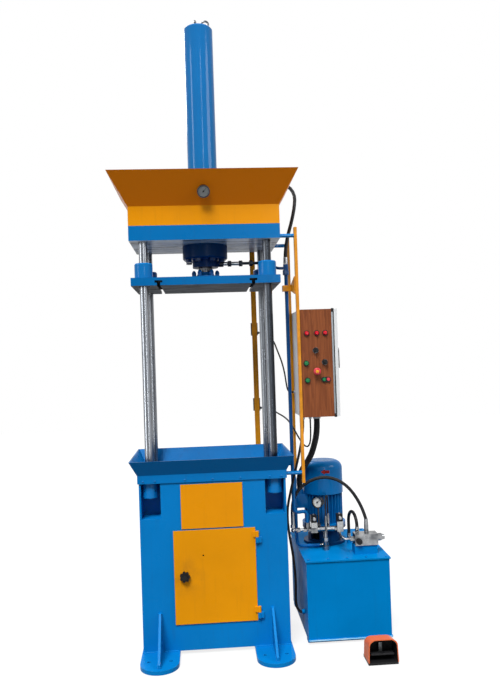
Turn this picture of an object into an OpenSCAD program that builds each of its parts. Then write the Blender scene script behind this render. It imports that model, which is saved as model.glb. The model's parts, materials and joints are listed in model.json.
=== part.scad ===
// Four-column hydraulic press with its power pack, control box and foot switch.
// The origin is on the floor under the ram's axis. +Z is up, the operator stands at -Y, the pack is at +X.

/* [Base] */
// Width of the welded base cabinet
body_w = 762; // [700:1:820]
// Depth of the base cabinet
body_d = 456; // [430:1:520]
// Height of the base cabinet's top over the floor
body_top = 883; // [840:1:940]
// Plate thickness of the base cabinet
body_wall = 10; // [8:1:14]
// Thickness of the foot plates
foot_t = 20; // [14:1:28]
// Width of a foot plate
foot_w = 194; // [170:1:210]
// How far a foot plate reaches out of the cabinet
foot_reach = 221; // [190:1:260]
// Distance of a foot plate's middle from the cabinet's side
foot_inset = 91; // [81:1:111]
// Diameter of the anchor bolt holes
anchor_d = 18; // [12:1:24]
// Distance between the two anchor holes of a foot
anchor_pitch = 110; // [90:1:130]
// Height of the gusset on a foot
gusset_h = 201; // [150:1:240]
// Thickness of the gussets
gusset_t = 12; // [8:1:16]

/* [Bed and tray] */
// Thickness of the bed plate
bed_t = 43; // [35:1:60]
// Sheet thickness of the oil tray
tray_t = 6; // [3:1:8]
// Height of the tray's flared wall
tray_h = 76; // [60:1:100]
// Overhang of the flared wall
tray_out = 38; // [25:1:48]

/* [Doors and covers] */
// Width of the cabinet door
door_w = 424; // [380:1:460]
// Height of the cabinet door
door_h = 480; // [420:1:500]
// Thickness of the cabinet door
door_t = 5; // [3:1:8]
// Height of the door's lower edge
door_z = 155; // [120:1:180]
// Overlap of the door on the frame around its opening
door_lap = 12; // [8:1:20]
// Diameter of the hinge pins of the cabinet door
hinge_pin_d = 10; // [8:1:12]
// Outer diameter of the hinge barrels
hinge_d = 18; // [16:1:22]
// Length of one hinge barrel
hinge_len = 29; // [22:1:36]
// Diameter of the lobed latch knob
knob_d = 54; // [44:1:64]
// Distance of the latch knob from the door's free edge
knob_inset = 54; // [48:1:70]
// Length of the latch cam from its spindle
cam_len = 64; // [60:1:68]
// Width of the cover plate
cover_w = 320; // [280:1:360]
// Distance of the cover plate from the door below it
cover_gap = 8; // [4:1:20]
// Distance of the cover plate's upper edge from the bed
cover_drop = 12; // [8:1:40]
// Thickness of the cover plate
cover_t = 4; // [2:1:6]

/* [Columns and crown] */
// Diameter of the columns
column_d = 45; // [40:1:52]
// Distance of a column's axis from the left or right edge of the narrowest plate
column_side = 55; // [49:1:66]
// Distance of a column's axis from the front or rear edge of the shallowest plate
column_edge = 53; // [48:1:63]
// Diameter of the round column nuts
nut_d = 80; // [70:1:86]
// Height of the round column nuts
nut_h = 78; // [60:1:90]
// Width of the crown plate
crown_w = 790; // [760:1:830]
// Depth of the crown plate
crown_d = 456; // [440:1:520]
// Thickness of the crown plate
crown_t = 77; // [60:1:100]
// Height of the crown's underside over the floor
crown_z = 2140; // [2080:1:2240]
// Height of the collar's upright band
collar_band = 101; // [90:1:130]
// Height of the collar's flare
collar_flare = 166; // [140:1:190]
// Overhang of the collar's flare
collar_out = 95; // [70:1:110]
// Sheet thickness of the collar
collar_t = 4; // [3:1:6]

/* [Cylinder and ram] */
// Outer diameter of the cylinder tube
tube_d = 160; // [150:1:176]
// Bore of the cylinder tube
bore_d = 130; // [120:1:136]
// Height of the cylinder's top over the floor
tube_top = 3352; // [3250:1:3450]
// Diameter of the cylinder's mounting flange
flange_d = 246; // [236:1:270]
// Thickness of the mounting flange
flange_t = 77; // [60:1:90]
// Diameter of the gland head
gland_d = 140; // [136:1:148]
// Height of the gland head under the flange
gland_h = 42; // [30:1:54]
// Diameter of the piston rod
rod_d = 78; // [70:1:90]
// Thickness of the moving platen
platen_t = 42; // [36:1:60]
// Width of the moving platen
platen_w = 780; // [760:1:820]
// Depth of the moving platen
platen_d = 456; // [440:1:500]
// Height of the platen's underside with the ram up
platen_z = 1906; // [1860:1:1920]
// Outer diameter of the guide bushings
bushing_d = 95; // [85:1:100]
// Height of the guide bushings
bushing_h = 78; // [60:1:90]
// Distance of a T-slot's middle from the axis of the column beside it
slot_inset = 79; // [70:1:100]
// Mouth width of a T-slot
slot_mouth = 18; // [14:1:22]
// Inner width of a T-slot
slot_wide = 40; // [30:1:44]

/* [Control box] */
// Depth of the control box from its back to its door seam
box_w = 183; // [170:1:200]
// Width of the control box from front to rear
box_d = 365; // [340:1:400]
// Height of the control box
box_h = 568; // [540:1:600]
// Height of the control box's underside over the floor
box_z = 1192; // [1150:1:1220]
// Sheet thickness of the control box
box_t = 3; // [2:1:4]
// Thickness of the front panel
panel_t = 3; // [2:1:4]
// Thickness of the control box door
box_door_t = 18; // [14:1:24]
// Diameter of a push button
button_d = 22; // [20:1:24]
// Travel of a push button
button_travel = 4; // [3:0.5:5]

/* [Power pack] */
// Width of the oil tank
tank_w = 445; // [430:1:480]
// Depth of the oil tank
tank_d = 620; // [600:1:680]
// Height of the oil tank's rim over the floor
tank_top = 426; // [410:1:440]
// Sheet thickness of the oil tank
tank_t = 5; // [4:1:8]
// Thickness of the tank lid
lid_t = 8; // [6:1:12]
// Diameter of the motor's flange
motor_flange_d = 250; // [236:1:260]
// Outer diameter over the motor's fins
motor_d = 222; // [214:1:224]
// Outer diameter of the fan cowl
cowl_d = 232; // [228:1:238]
// Height of the motor's finned body
motor_h = 176; // [160:1:200]
// Height of the fan cowl
cowl_h = 186; // [170:1:200]
// Number of cooling fins
fin_count = 30; // [20:1:36]

/* [Foot switch] */
// Width of the foot switch hood
hood_w = 150; // [140:1:170]
// Height of the foot switch hood
hood_h = 112; // [100:1:130]
// Depth of the foot switch hood
hood_d = 100; // [95:1:130]
// Wall of the foot switch hood
hood_t = 6; // [4:1:8]

/* [Hidden] */
$fn = 64;

// Colours
blue = "#0a78bd";
dark_blue = "#0b3a66";
yellow = "#e0950c";
steel = "#9aa0a5";
chrome = "#c2c7cc";
black = "#1b1c1e";
grey = "#b9bfc2";
wood = "#7e4c2f";
orange = "#e07a45";

// Clearances
run = 0.05;          // round running fit, on the radius
seat = 0.1;          // static seat, on the radius or face
gap = 0.5;           // between faces that move past each other
eps = 0.5;           // how far a cut runs past the face that it opens

// Base
bed_z = body_top;
bed_top = bed_z + bed_t;
front = -body_d / 2;
column_span_x = min(body_w, crown_w, platen_w) - 2 * column_side;
column_span_y = min(body_d, crown_d, platen_d) - 2 * column_edge;
niche_w = body_w / 2 - body_wall - column_span_x / 2 + nut_d / 2 + 15;
niche_d = body_d / 2 - body_wall - column_span_y / 2 + nut_d / 2 + 37;
niche_z = body_top - nut_h - 105;
door_gap = 1;
door_y = front - door_gap - door_t;
opening_w = door_w - 2 * door_lap;
opening_h = door_h - 2 * door_lap;
hinge_x = door_w / 2 + hinge_d / 2 + gap;
hinge_y = front - door_gap - hinge_d / 2;
hinge_inset = [14, 78];   // of the lower ends, from the lower and upper edges of the door
hinge_low = [door_z + hinge_inset[0], door_z + door_h - hinge_inset[1]];
leaf_t = 6;
leaf_w = 22;
knob_x = -door_w / 2 + knob_inset;
knob_z = door_z + door_h / 2 + 6;
knob_h = 30;
spindle_d = 12;
cam_t = 6;
cam_w = 22;
cam_y = front + body_wall + gap;
cover_x = -8;
cover_z = door_z + door_h + cover_gap;
cover_h = body_top - cover_drop - cover_z;
foot_x = body_w / 2 - foot_inset;
foot_lap = 70;
anchor_y = body_d / 2 + 112;
gusset_reach = foot_reach - 25;

// Crown, cylinder and ram
crown_top = crown_z + crown_t;
band_top = crown_top + collar_band;
column_low = bed_z - nut_h - 8;
column_high = crown_top + nut_h + 8;
tube_low = crown_z - flange_t;
cap_t = 24;
gland_low = tube_low - gland_h;
spigot_h = 60;
platen_top = platen_z + platen_t;
slot_span = column_span_x - 2 * slot_inset;
rod_flange_d = 156;
rod_flange_t = 24;
rod_neck_h = 22;
piston_h = 70;
piston_top = tube_top - cap_t - 12;
flange_bolts = 8;
flange_pcd = flange_d - 52;
eye_d = 48;
eye_wire = 11;

// Gauges
gauge_d = 66;
gauge_h = 30;
dial_d = 56;
dial_depth = 8;
needle_l = 40;
flare_tilt = atan(collar_out / collar_flare);
top_gauge_up = 80;   // distance of the gauge's centre up the collar's flare
top_needle_turn = -42;
pack_needle_turn = -50;

// Posts and box
post_w = 15;
post_d = 30;
post_top = crown_z + 55;
post_low = bed_z - 31;
bar_d = 20;
bar_z = [bed_z + 22, crown_z + 12];
post_x = crown_w / 2 + 81;
post_face = post_x + post_w / 2;
front_post_y = -215;
rear_post_y = 100;
rail_w = 30;
rail_t = 8;
rail_x = 282;
rail_y = body_d / 2 + tray_out + tray_t + 6;
rail_low = bed_z - 60;
rail_high = crown_z + 50;
clamp_z = crown_z - 265;
clamp_h = 32;
clamp_d = 38;
switch_size = [40, 30, 74];
switch_z = [1650, 1200];
box_x = post_face;
box_y = front_post_y;
seam_x = box_x + box_w;
panel_y = box_y - panel_t;
panel_inset = 14;
box_hinge_pin_d = 6;
box_hinge_d = 11;
box_hinge_len = 24;
box_hinge_x = seam_x + box_hinge_d / 2 + 2;
box_hinge_y = box_y + box_d + box_hinge_d / 2 + gap;
box_hinge_z = [box_z + 60, box_z + box_h - 110];
handle_y = box_y + 30;
handle_z = box_z + 350;
handle_hub_d = 26;
handle_len = 96;
handle_bore_d = 14;

// Operating panel: x from the box's back and z from its underside
lamp_spots = [[35, 441], [88, 441], [133, 441]];
selector_spots = [[80, 351], [126, 288]];
green_spots = [[28, 284], [32, 194]];
stop_spot = [81, 240];
twin_spots = [[119, 196], [142, 196]];
collar_d = button_d + 8;
collar_h = 4;
button_out = button_travel + 3;
button_in = 16;
twin_d = 18;
stop_d = 38;

// Power pack
skid_h = 15;
tank_x = post_x + 2;
tank_y = -200;
lid_over = 6;
lid_top = tank_top + lid_t;
motor_x = tank_x + 167;
motor_y = tank_y + 390;
bell_h = 104;
bell_neck_d = 190;
bell_bore_d = 150;
window_w = 60;
window_h = 46;
window_up = 26;
motor_z = lid_top + bell_h;
motor_flange_t = 16;
stator_d = 178;
shaft_d = 28;
cowl_z = motor_z + motor_flange_t + motor_h;
cowl_t = 3;
cowl_round = 48;
fan_d = 190;
fan_blades = 8;
fan_h = 34;
fan_up = 40;
fan_root = 20;
fan_hub_d = 64;
fan_hub_h = 14;
blade_t = 3;
shaft_up = 60;
shaft_down = 58;
coupling_d = 70;
coupling_h = 40;
coupling_down = 70;
cowl_skirt = 9;
cowl_lip = 5;
vent_rings = [24, 40, 56];
vent_d = 7;
terminal_size = [62, 90, 80];
terminal_out = 48;
terminal_x = motor_x - motor_d / 2 - terminal_out;
terminal_up = 86;
terminal_z = motor_z + motor_flange_t + terminal_up;
pump_d = 120;
pump_h = 150;
pump_shaft_d = 24;
suction_d = 42;
suction_up = 60;
manifold_y = 0;
manifold_up = 116;
manifold_z = lid_top + manifold_up;
manifold_d = 28;
stub_d = 14;
stub_drop = 9;
manifold_in = 96;
manifold_len = 96;
manifold_low = tank_x + manifold_in;
manifold_high = manifold_low + manifold_len;
tee_x = tank_x + 42;
union_x = tank_x - 38;
valve_in = 77;
valve_pitch = 145;
valve_x = [tank_x + valve_in, tank_x + valve_in + valve_pitch];
valve_size = [34, 52, 28];
coil_size = [32, 38, 38];
relief_x = tank_x + 281;
relief_y = -130;
relief_size = [125, 70, 60];
relief_z = lid_top + 48;
relief_knob_d = 32;
relief_knob_h = 16;
relief_knob_x = relief_x + 20;
relief_knob_z = relief_z + 24;
relief_spindle_d = 10;
gauge_stem_d = 9;
gauge_stem_x = tank_x + 106;
gauge_stem_y = manifold_y;
pack_gauge_z = manifold_z + 150;
pack_gauge_turn = -38;

// Foot switch
pedal_x = 800;
pedal_y = -492;
pedal_base_h = 12;
hood_chamfer = 34;
treadle_pin_d = 8;
treadle_w = hood_w - 2 * hood_t - 24;
treadle_pin_y = pedal_y + hood_d - 22;
treadle_pin_z = pedal_base_h + 18;

// Cord routes
arch_d = 18;
arch_route = [[440, 0, 646], [440, 0, 690], [454, -4, 738], [487, -9, 785], [538, -16, 821], [598, -26, 840],
    [658, -36, 836], [712, -46, 812], [756, -54, 772], [790, -60, 722], [814, -66, 672], [828, -70, 630],
    [834, -72, 604], [834, -72, 578]];
gauge_hose_d = 8;
gauge_route = [[622, -12, 606], [622, -12, 640], [622, -12, 674], [624, -8, 702], [629, 4, 722],
    [634, 17, 730], [639, 30, 722], [643, 42, 702], [645, 46, 674], [645, 46, 640], [645, 46, 606]];
return_d = 18;
return_route = [[776, 118, 464], [776, 118, 524], [777, 108, 574], [780, 82, 612], [785, 48, 626],
    [790, 14, 612], [793, -12, 574], [794, -20, 560], [794, -20, 534]];
cylinder_hose_d = 20;
cylinder_route = [[442, -40, 2024], [442, -40, 2066], [449, -32, 2128], [466, -8, 2196], [488, 24, 2262],
    [508, 62, 2328], [524, 108, 2392], [532, 160, 2452], [518, 212, 2508], [472, 246, 2552], [405, 256, 2580],
    [335, 248, 2594], [265, 226, 2600], [200, 194, 2596], [140, 156, 2584], [96, 130, 2574], [74, 126, 2572],
    [46, 126, 2572]];
conduit_d = 34;
conduit_route = [[581, -70, 1172], [581, -70, 1146], [580, -62, 1106], [577, -44, 1066], [571, -12, 1020],
    [562, 32, 968], [546, 78, 920], [522, 114, 874], [508, 142, 832], [505, 160, 796], [507, 168, 768],
    [507, 168, 746]];
cable_d = 9;
upper_route = [[310, 301, 1665], [336, 301, 1665], [366, 290, 1648], [392, 256, 1608], [408, 210, 1552],
    [424, 160, 1490], [434, 124, 1430], [438, 94, 1376], [442, 74, 1336], [451, 66, 1317], [464, 66, 1314],
    [478, 66, 1314]];
lower_route = [[310, 301, 1215], [336, 301, 1215], [366, 288, 1204], [392, 256, 1190], [408, 210, 1180],
    [422, 160, 1172], [440, 104, 1156], [458, 50, 1128], [474, 0, 1090], [492, -46, 1050], [512, -74, 1024],
    [530, -82, 1026], [541, -78, 1056], [545, -70, 1106], [545, -70, 1172]];
level_d = 14;
level_route = [[500, -100, 1172], [500, -100, 1136], [494, -98, 1080], [480, -92, 1010], [462, -80, 930],
    [444, -68, 855], [424, -62, 775], [406, -60, 690], [404, -60, 610], [412, -60, 530], [424, -60, 450],
    [432, -60, 370], [436, -59, 290], [434, -58, 220], [434, -58, 176], [440, -58, 144], [452, -58, 126],
    [458, -58, 122], [466, -58, 122]];
arch_end = arch_route[len(arch_route) - 1];
gauge_end = gauge_route[len(gauge_route) - 1];
return_end = return_route[len(return_route) - 1];
hose_start = cylinder_route[0];
hose_end = cylinder_route[len(cylinder_route) - 1];
conduit_end = conduit_route[len(conduit_route) - 1];
upper_end = upper_route[len(upper_route) - 1];
lower_end = lower_route[len(lower_route) - 1];
level_end = level_route[len(level_route) - 1];

// Rigid pipes
pipe_d = 20;
pipe_x = hose_start.x;
pipe_y = hose_start.y;
pipe_top = crown_z - 150;
drain_d = 18;
drain_x = pipe_x + 22;
drain_y = 46;
drain_z = lid_top + 16;
drain_end = tank_x + 132;
gland_port_z = gland_low + gland_h / 2;
port_boss = 8;
cap_port_y = tube_d / 2 + 22;
cap_port_z = tube_top - cap_t - 40;

// Straight and turned shapes
module plate(w, d, t) translate([-w / 2, -d / 2, 0]) cube([w, d, t]);

module block(low, high) translate(low) cube(high - low);

module frustum(w0, d0, w1, d1, h)
    polyhedron([for (f = [[w0, d0, 0], [w1, d1, h]]) for (c = [[-1, -1], [1, -1], [1, 1], [-1, 1]])
            [c.x * f[0] / 2, c.y * f[1] / 2, f[2]]],
        [[0, 1, 2, 3], [7, 6, 5, 4], [0, 4, 5, 1], [1, 5, 6, 2], [2, 6, 7, 3], [3, 7, 4, 0]]);

module along_x() rotate([0, 90, 0]) children();
module along_y() rotate([-90, 0, 0]) children();
module hexagon(across, h) cylinder(d = across / cos(30), h = h, $fn = 6);
module at_columns() for (x = [-1, 1], y = [-1, 1])
    translate([x * column_span_x / 2, y * column_span_y / 2, 0]) children();
module four_ways() for (x = [0, 1], y = [0, 1]) mirror([x, 0, 0]) mirror([0, y, 0]) children();

// Round pipe or cord swept along a list of points
function unit(v) = v / norm(v);
function heading(p, i) = i == 0 ? unit(p[1] - p[0]) : i == len(p) - 1 ? unit(p[i] - p[i - 1])
    : unit(unit(p[i + 1] - p[i]) + unit(p[i] - p[i - 1]));
function sides(p, i = 0, last = [0.31, 0.17, 0.93], out = []) = i == len(p) ? out
    : let (t = heading(p, i), n = unit(last - t * (last * t))) sides(p, i + 1, n, concat(out, [n]));
function bent(p, r, n = 5) = [p[0], for (i = [1 : len(p) - 2])
    let (a = p[i] + unit(p[i - 1] - p[i]) * r, b = p[i] + unit(p[i + 1] - p[i]) * r)
    for (k = [0 : n]) let (s = k / n) a * (1 - s) ^ 2 + 2 * p[i] * s * (1 - s) + b * s ^ 2, p[len(p) - 1]];

module tube(p, d, n = 10) {
    s = sides(p);
    m = len(p);
    rings = [for (i = [0 : m - 1]) let (u = s[i], v = cross(heading(p, i), u)) for (k = [0 : n - 1])
        p[i] + d / 2 * (cos(360 * k / n) * u + sin(360 * k / n) * v)];
    walls = [for (i = [0 : m - 2]) for (k = [0 : n - 1]) let (j = (k + 1) % n)
        [i * n + k, (i + 1) * n + k, (i + 1) * n + j, i * n + j]];
    polyhedron(rings, concat([[for (k = [0 : n - 1]) k]], walls,
        [[for (k = [n - 1 : -1 : 0]) (m - 1) * n + k]]));
}

// Base
module niche_block()
    block([body_w / 2 - 2 * body_wall - niche_w, -body_d / 2 + body_wall / 2, niche_z - body_wall],
        [body_w / 2 - body_wall / 2, -body_d / 2 + 2 * body_wall + niche_d, body_top]);

module niche_cut() {
    block([body_w / 2 - body_wall - niche_w, -body_d / 2 - eps, niche_z],
        [body_w / 2 - body_wall, -body_d / 2 + body_wall + niche_d, body_top + eps]);
    translate([body_w / 2 - body_wall - eps, -column_span_y / 2, body_top - 45])
        along_x() cylinder(d = 12, h = body_wall + 2 * eps);
}

module frame_knuckles()
    for (z = hinge_low) translate([hinge_x, 0, z]) {
        translate([0, hinge_y, 0]) cylinder(d = hinge_d, h = hinge_len);
        translate([0, hinge_y, 0]) cylinder(d = hinge_pin_d, h = 2 * hinge_len - 4);
        block([0, hinge_y - leaf_t / 2, 0], [leaf_w, front + eps, hinge_len]);
    }

module base_cabinet() color(blue) {
    difference() {
        union() {
            difference() {
                translate([0, 0, foot_t]) plate(body_w, body_d, body_top - foot_t);
                translate([0, 0, foot_t + body_wall])
                    plate(body_w - 2 * body_wall, body_d - 2 * body_wall, body_top);
            }
            four_ways() niche_block();
        }
        four_ways() niche_cut();
        block([-opening_w / 2, front - eps, door_z + door_lap],
            [opening_w / 2, front + body_wall + eps, door_z + door_lap + opening_h]);
        block([cover_x - cover_w / 2 + 20, front - eps, cover_z + 20],
            [cover_x + cover_w / 2 - 20, front + body_wall + eps, cover_z + cover_h - 20]);
    }
    frame_knuckles();
}

module anchor_foot() {
    translate([foot_x, 0, 0]) difference() {
        union() {
            block([-foot_w / 2, -body_d / 2 - foot_reach + foot_w / 2, 0],
                [foot_w / 2, -body_d / 2 + foot_lap, foot_t]);
            translate([0, -body_d / 2 - foot_reach + foot_w / 2, 0]) cylinder(d = foot_w, h = foot_t);
        }
        for (x = [-1, 1]) translate([x * anchor_pitch / 2, -anchor_y, -eps])
            cylinder(d = anchor_d, h = foot_t + 2 * eps);
    }
    translate([foot_x - gusset_t / 2, -body_d / 2, foot_t]) rotate([90, 0, 90]) linear_extrude(gusset_t)
        polygon([[0, 0], [-gusset_reach, 0], [-gusset_reach, 18], [-20, gusset_h], [0, gusset_h]]);
}

module anchor_feet() color(blue) four_ways() anchor_foot();

module bed_plate() color(blue) difference() {
    translate([0, 0, bed_z]) plate(body_w, body_d, bed_t);
    at_columns() translate([0, 0, bed_z - eps]) cylinder(d = column_d + 2 * seat, h = bed_t + 2 * eps);
}

module oil_tray() color(blue) difference() {
    union() {
        translate([0, 0, bed_z]) plate(body_w + 2 * tray_t + 2 * seat, body_d + 2 * tray_t + 2 * seat, bed_t);
        translate([0, 0, bed_top]) frustum(body_w + 2 * tray_t + 2 * seat, body_d + 2 * tray_t + 2 * seat,
            body_w + 2 * (tray_t + tray_out + seat), body_d + 2 * (tray_t + tray_out + seat), tray_h);
    }
    translate([0, 0, bed_z - eps]) plate(body_w + 2 * seat, body_d + 2 * seat, bed_t + eps);
    translate([0, 0, bed_top]) frustum(body_w + 2 * seat, body_d + 2 * seat,
        body_w + 2 * seat + 2 * tray_out, body_d + 2 * seat + 2 * tray_out, tray_h + 0.01);
}

module cap_screw(d, h) union() {
    cylinder(d = d, h = h * 0.55);
    translate([0, 0, h * 0.55]) cylinder(d1 = d, d2 = d * 0.55, h = h * 0.45);
}

module tray_screws()
    for (x = [-0.47, -0.39, -0.19, 0, 0.19, 0.39, 0.47])
        translate([x * body_w, front - tray_t - seat, bed_z + 13]) rotate([90, 0, 0]) cap_screw(9, 4);

module cylinder_bolts()
    for (a = [0 : flange_bolts - 1]) rotate([0, 0, (a + 0.5) * 360 / flange_bolts])
        translate([flange_pcd / 2, 0, tube_low - 16]) hexagon(30, 16);

module lid_screws()
    for (x = [0.03, 0.27, 0.5, 0.73, 0.97], y = [0.03, 0.5, 0.97])
        if (y != 0.5 || x == 0.03 || x == 0.97)
            translate([tank_x + x * tank_w, tank_y + y * tank_d, lid_top]) hexagon(11, 5);

module frame_screws() color(steel) {
    tray_screws();
    cylinder_bolts();
    lid_screws();
}

module cover_plate() color(yellow)
    block([cover_x - cover_w / 2, front - cover_t, cover_z],
        [cover_x + cover_w / 2, front, cover_z + cover_h]);

module cabinet_door() color(yellow) difference() {
    union() {
        block([-door_w / 2, door_y, door_z], [door_w / 2, door_y + door_t, door_z + door_h]);
        for (z = hinge_low) translate([hinge_x, 0, z + hinge_len + gap]) {
            translate([0, hinge_y, 0]) cylinder(d = hinge_d, h = hinge_len);
            block([-leaf_w, hinge_y - leaf_t / 2, 0], [0, door_y + eps, hinge_len]);
        }
    }
    for (z = hinge_low) translate([hinge_x, hinge_y, z + hinge_len])
        cylinder(d = hinge_pin_d + 2 * run, h = hinge_len - 2);
    translate([knob_x, door_y - eps, knob_z]) along_y()
        cylinder(d = spindle_d + 2 * run, h = door_t + 2 * eps);
    translate([-60, door_y - eps, knob_z + 102]) along_y() cylinder(d = 9, h = door_t + 2 * eps);
}

module lobed_grip(d, lobes, h) linear_extrude(h) union() {
    circle(d = d * 0.74);
    for (a = [0 : lobes - 1]) rotate(a * 360 / lobes) translate([d * 0.36, 0]) circle(d = d * 0.28);
}

module latch_knob() {
    color(black) translate([knob_x, door_y - gap, knob_z]) rotate([90, 0, 0]) {
        lobed_grip(knob_d, 7, knob_h * 0.6);
        translate([0, 0, knob_h * 0.6]) cylinder(d1 = knob_d * 0.62, d2 = knob_d * 0.5, h = knob_h * 0.4);
    }
    color(steel) translate([knob_x, door_y - gap, knob_z]) along_y()
        cylinder(d = spindle_d, h = cam_y + cam_t - door_y + gap);
    color(steel) block([knob_x - cam_w / 2, cam_y, knob_z - cam_w / 2],
        [knob_x + cam_w / 2, cam_y + cam_t, knob_z + cam_len]);
}

// Columns and crown
module columns() color(chrome) at_columns() translate([0, 0, column_low])
    cylinder(d = column_d, h = column_high - column_low);

module round_nut() difference() {
    cylinder(d = nut_d, h = nut_h);
    translate([0, 0, -eps]) cylinder(d = column_d + 2 * seat, h = nut_h + 2 * eps);
    for (a = [45 : 90 : 315]) rotate([0, 0, a]) translate([nut_d / 2 - 10, 0, nut_h * 0.45]) along_x()
        cylinder(d = 10, h = 20);
}

module column_nuts() color(blue) at_columns() {
    translate([0, 0, bed_z - nut_h]) round_nut();
    translate([0, 0, crown_top]) round_nut();
}

module crown_plate() color(blue) difference() {
    translate([0, 0, crown_z]) plate(crown_w, crown_d, crown_t);
    at_columns() translate([0, 0, crown_z - eps]) cylinder(d = column_d + 2 * seat, h = crown_t + 2 * eps);
    translate([0, 0, crown_z - eps]) cylinder(d = tube_d + 2 * seat, h = crown_t + 2 * eps);
}

module collar_form(inset) {
    translate([0, 0, crown_top - inset]) plate(crown_w - 2 * inset, crown_d - 2 * inset, collar_band + inset);
    translate([0, 0, band_top]) frustum(crown_w - 2 * inset, crown_d - 2 * inset,
        crown_w - 2 * inset + 2 * collar_out, crown_d - 2 * inset + 2 * collar_out,
            collar_flare + (inset > 0 ? 0.01 : 0));
}

module crown_collar() color(yellow) difference() {
    collar_form(0);
    collar_form(collar_t);
    on_flare() cylinder(d = 14, h = 30, center = true);
}

module on_flare()
    translate([0, -crown_d / 2, band_top]) rotate([flare_tilt, 0, 0]) translate([0, 0, top_gauge_up])
        rotate([90, 0, 0]) children();

module eye_ring() rotate([90, 0, 0]) rotate_extrude() translate([(eye_d - eye_wire) / 2, 0])
    circle(d = eye_wire);

module cylinder_barrel() color(blue) {
    difference() {
        union() {
            translate([0, 0, tube_low]) cylinder(d = tube_d, h = tube_top - tube_low - 8);
            translate([0, 0, tube_top - 8]) cylinder(d1 = tube_d, d2 = tube_d - 14, h = 8);
            translate([0, bore_d / 2 + 4, cap_port_z]) along_y()
                cylinder(d = 40, h = cap_port_y - bore_d / 2 - 4);
        }
        translate([0, 0, tube_low - eps]) cylinder(d = bore_d, h = tube_top - cap_t - tube_low + eps);
    }
    translate([40, 0, tube_top - 3]) cylinder(d = 22, h = 14);
    translate([40, 0, tube_top + eye_d / 2 + 4]) eye_ring();
    translate([-14, 0, tube_top - 3]) cylinder(d = 22, h = 14);
    translate([-14, 0, tube_top + eye_d / 2 + 4]) rotate([0, 0, 80]) eye_ring();
}

module cylinder_flange() color(dark_blue) difference() {
    translate([0, 0, tube_low]) union() {
        cylinder(d1 = flange_d - 14, d2 = flange_d, h = 8);
        translate([0, 0, 8]) cylinder(d = flange_d, h = flange_t - 8);
    }
    translate([0, 0, tube_low - eps]) cylinder(d = tube_d + 2 * seat, h = flange_t + 2 * eps);
}

module gland_head() color(dark_blue) difference() {
    union() {
        translate([0, 0, gland_low]) cylinder(d = gland_d, h = gland_h);
        translate([0, 0, tube_low]) cylinder(d = bore_d - 2 * seat, h = spigot_h);
        translate([rod_d / 2 + 8, 0, gland_port_z]) along_x()
            cylinder(d = 34, h = gland_d / 2 + port_boss - rod_d / 2 - 8);
    }
    translate([0, 0, gland_low - eps]) cylinder(d = rod_d + 2 * run, h = gland_h + spigot_h + 2 * eps);
}

module piston_rod() color(chrome) {
    translate([0, 0, platen_top]) cylinder(d = rod_flange_d, h = rod_flange_t);
    translate([0, 0, platen_top + rod_flange_t]) cylinder(d1 = rod_d + 26, d2 = rod_d + 6, h = rod_neck_h);
    translate([0, 0, platen_top + rod_flange_t])
        cylinder(d = rod_d, h = piston_top - platen_top - rod_flange_t);
    translate([0, 0, piston_top - piston_h]) cylinder(d = bore_d - 2 * run, h = piston_h);
    for (a = [0 : 60 : 300]) rotate([0, 0, a])
        translate([rod_flange_d / 2 - 14, 0, platen_top + rod_flange_t]) hexagon(20, 14);
}

module t_slot() {
    block([-slot_mouth / 2, -platen_d / 2 - eps, platen_z - eps],
        [slot_mouth / 2, platen_d / 2 + eps, platen_z + 15]);
    block([-slot_wide / 2, -platen_d / 2 - eps, platen_z + 14],
        [slot_wide / 2, platen_d / 2 + eps, platen_z + 26]);
}

module moving_platen() color(blue) difference() {
    translate([0, 0, platen_z]) plate(platen_w, platen_d, platen_t);
    at_columns() translate([0, 0, platen_z - eps]) cylinder(d = column_d + 4, h = platen_t + 2 * eps);
    for (x = [-1, 1]) translate([x * slot_span / 2, 0, 0]) t_slot();
}

module guide_bushings() color(blue) at_columns() translate([0, 0, platen_top]) difference() {
    union() {
        cylinder(d = bushing_d, h = bushing_h - 6);
        translate([0, 0, bushing_h - 6]) cylinder(d1 = bushing_d, d2 = bushing_d - 8, h = 6);
    }
    translate([0, 0, -eps]) cylinder(d = column_d + 2 * run, h = bushing_h + 2 * eps);
}

// Gauges
module gauge_case() difference() {
    union() {
        cylinder(d = gauge_d - 6, h = gauge_h);
        translate([0, 0, gauge_h - 10]) cylinder(d = gauge_d, h = 10);
    }
    translate([0, 0, gauge_h - dial_depth]) cylinder(d = dial_d, h = dial_depth + eps);
    translate([0, 0, gauge_h - dial_depth - 6]) cylinder(d = 4 + 2 * run, h = 7);
}

module needle() {
    translate([0, 0, -5]) cylinder(d = 4, h = 8);
    translate([0, 0, 1.5]) cylinder(d = 9, h = 2);
    translate([-1, -8, 1.5]) cube([2, 8 + needle_l / 2, 1.5]);
}

module at_pack_gauge()
    translate([gauge_stem_x, gauge_stem_y, pack_gauge_z]) rotate([0, 0, pack_gauge_turn])
        translate([0, gauge_h / 2, 0])
        rotate([90, 0, 0]) children();

module gauge_cases() color(grey) {
    on_flare() gauge_case();
    on_flare() translate([0, 0, -26]) cylinder(d = 13, h = 26 + eps);
    at_pack_gauge() gauge_case();
    translate([gauge_stem_x, gauge_stem_y, manifold_z + manifold_d / 2])
        cylinder(d = gauge_stem_d, h = pack_gauge_z - manifold_z - manifold_d / 2 - gauge_d / 2 + 8);
    translate([gauge_stem_x, gauge_stem_y, manifold_z + manifold_d / 2 + 4]) hexagon(19, 14);
}

module top_gauge_needle() color(black) on_flare() translate([0, 0, gauge_h - dial_depth])
    rotate([0, 0, top_needle_turn]) needle();
module pack_gauge_needle() color(black) at_pack_gauge() translate([0, 0, gauge_h - dial_depth])
    rotate([0, 0, pack_needle_turn]) needle();

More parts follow.
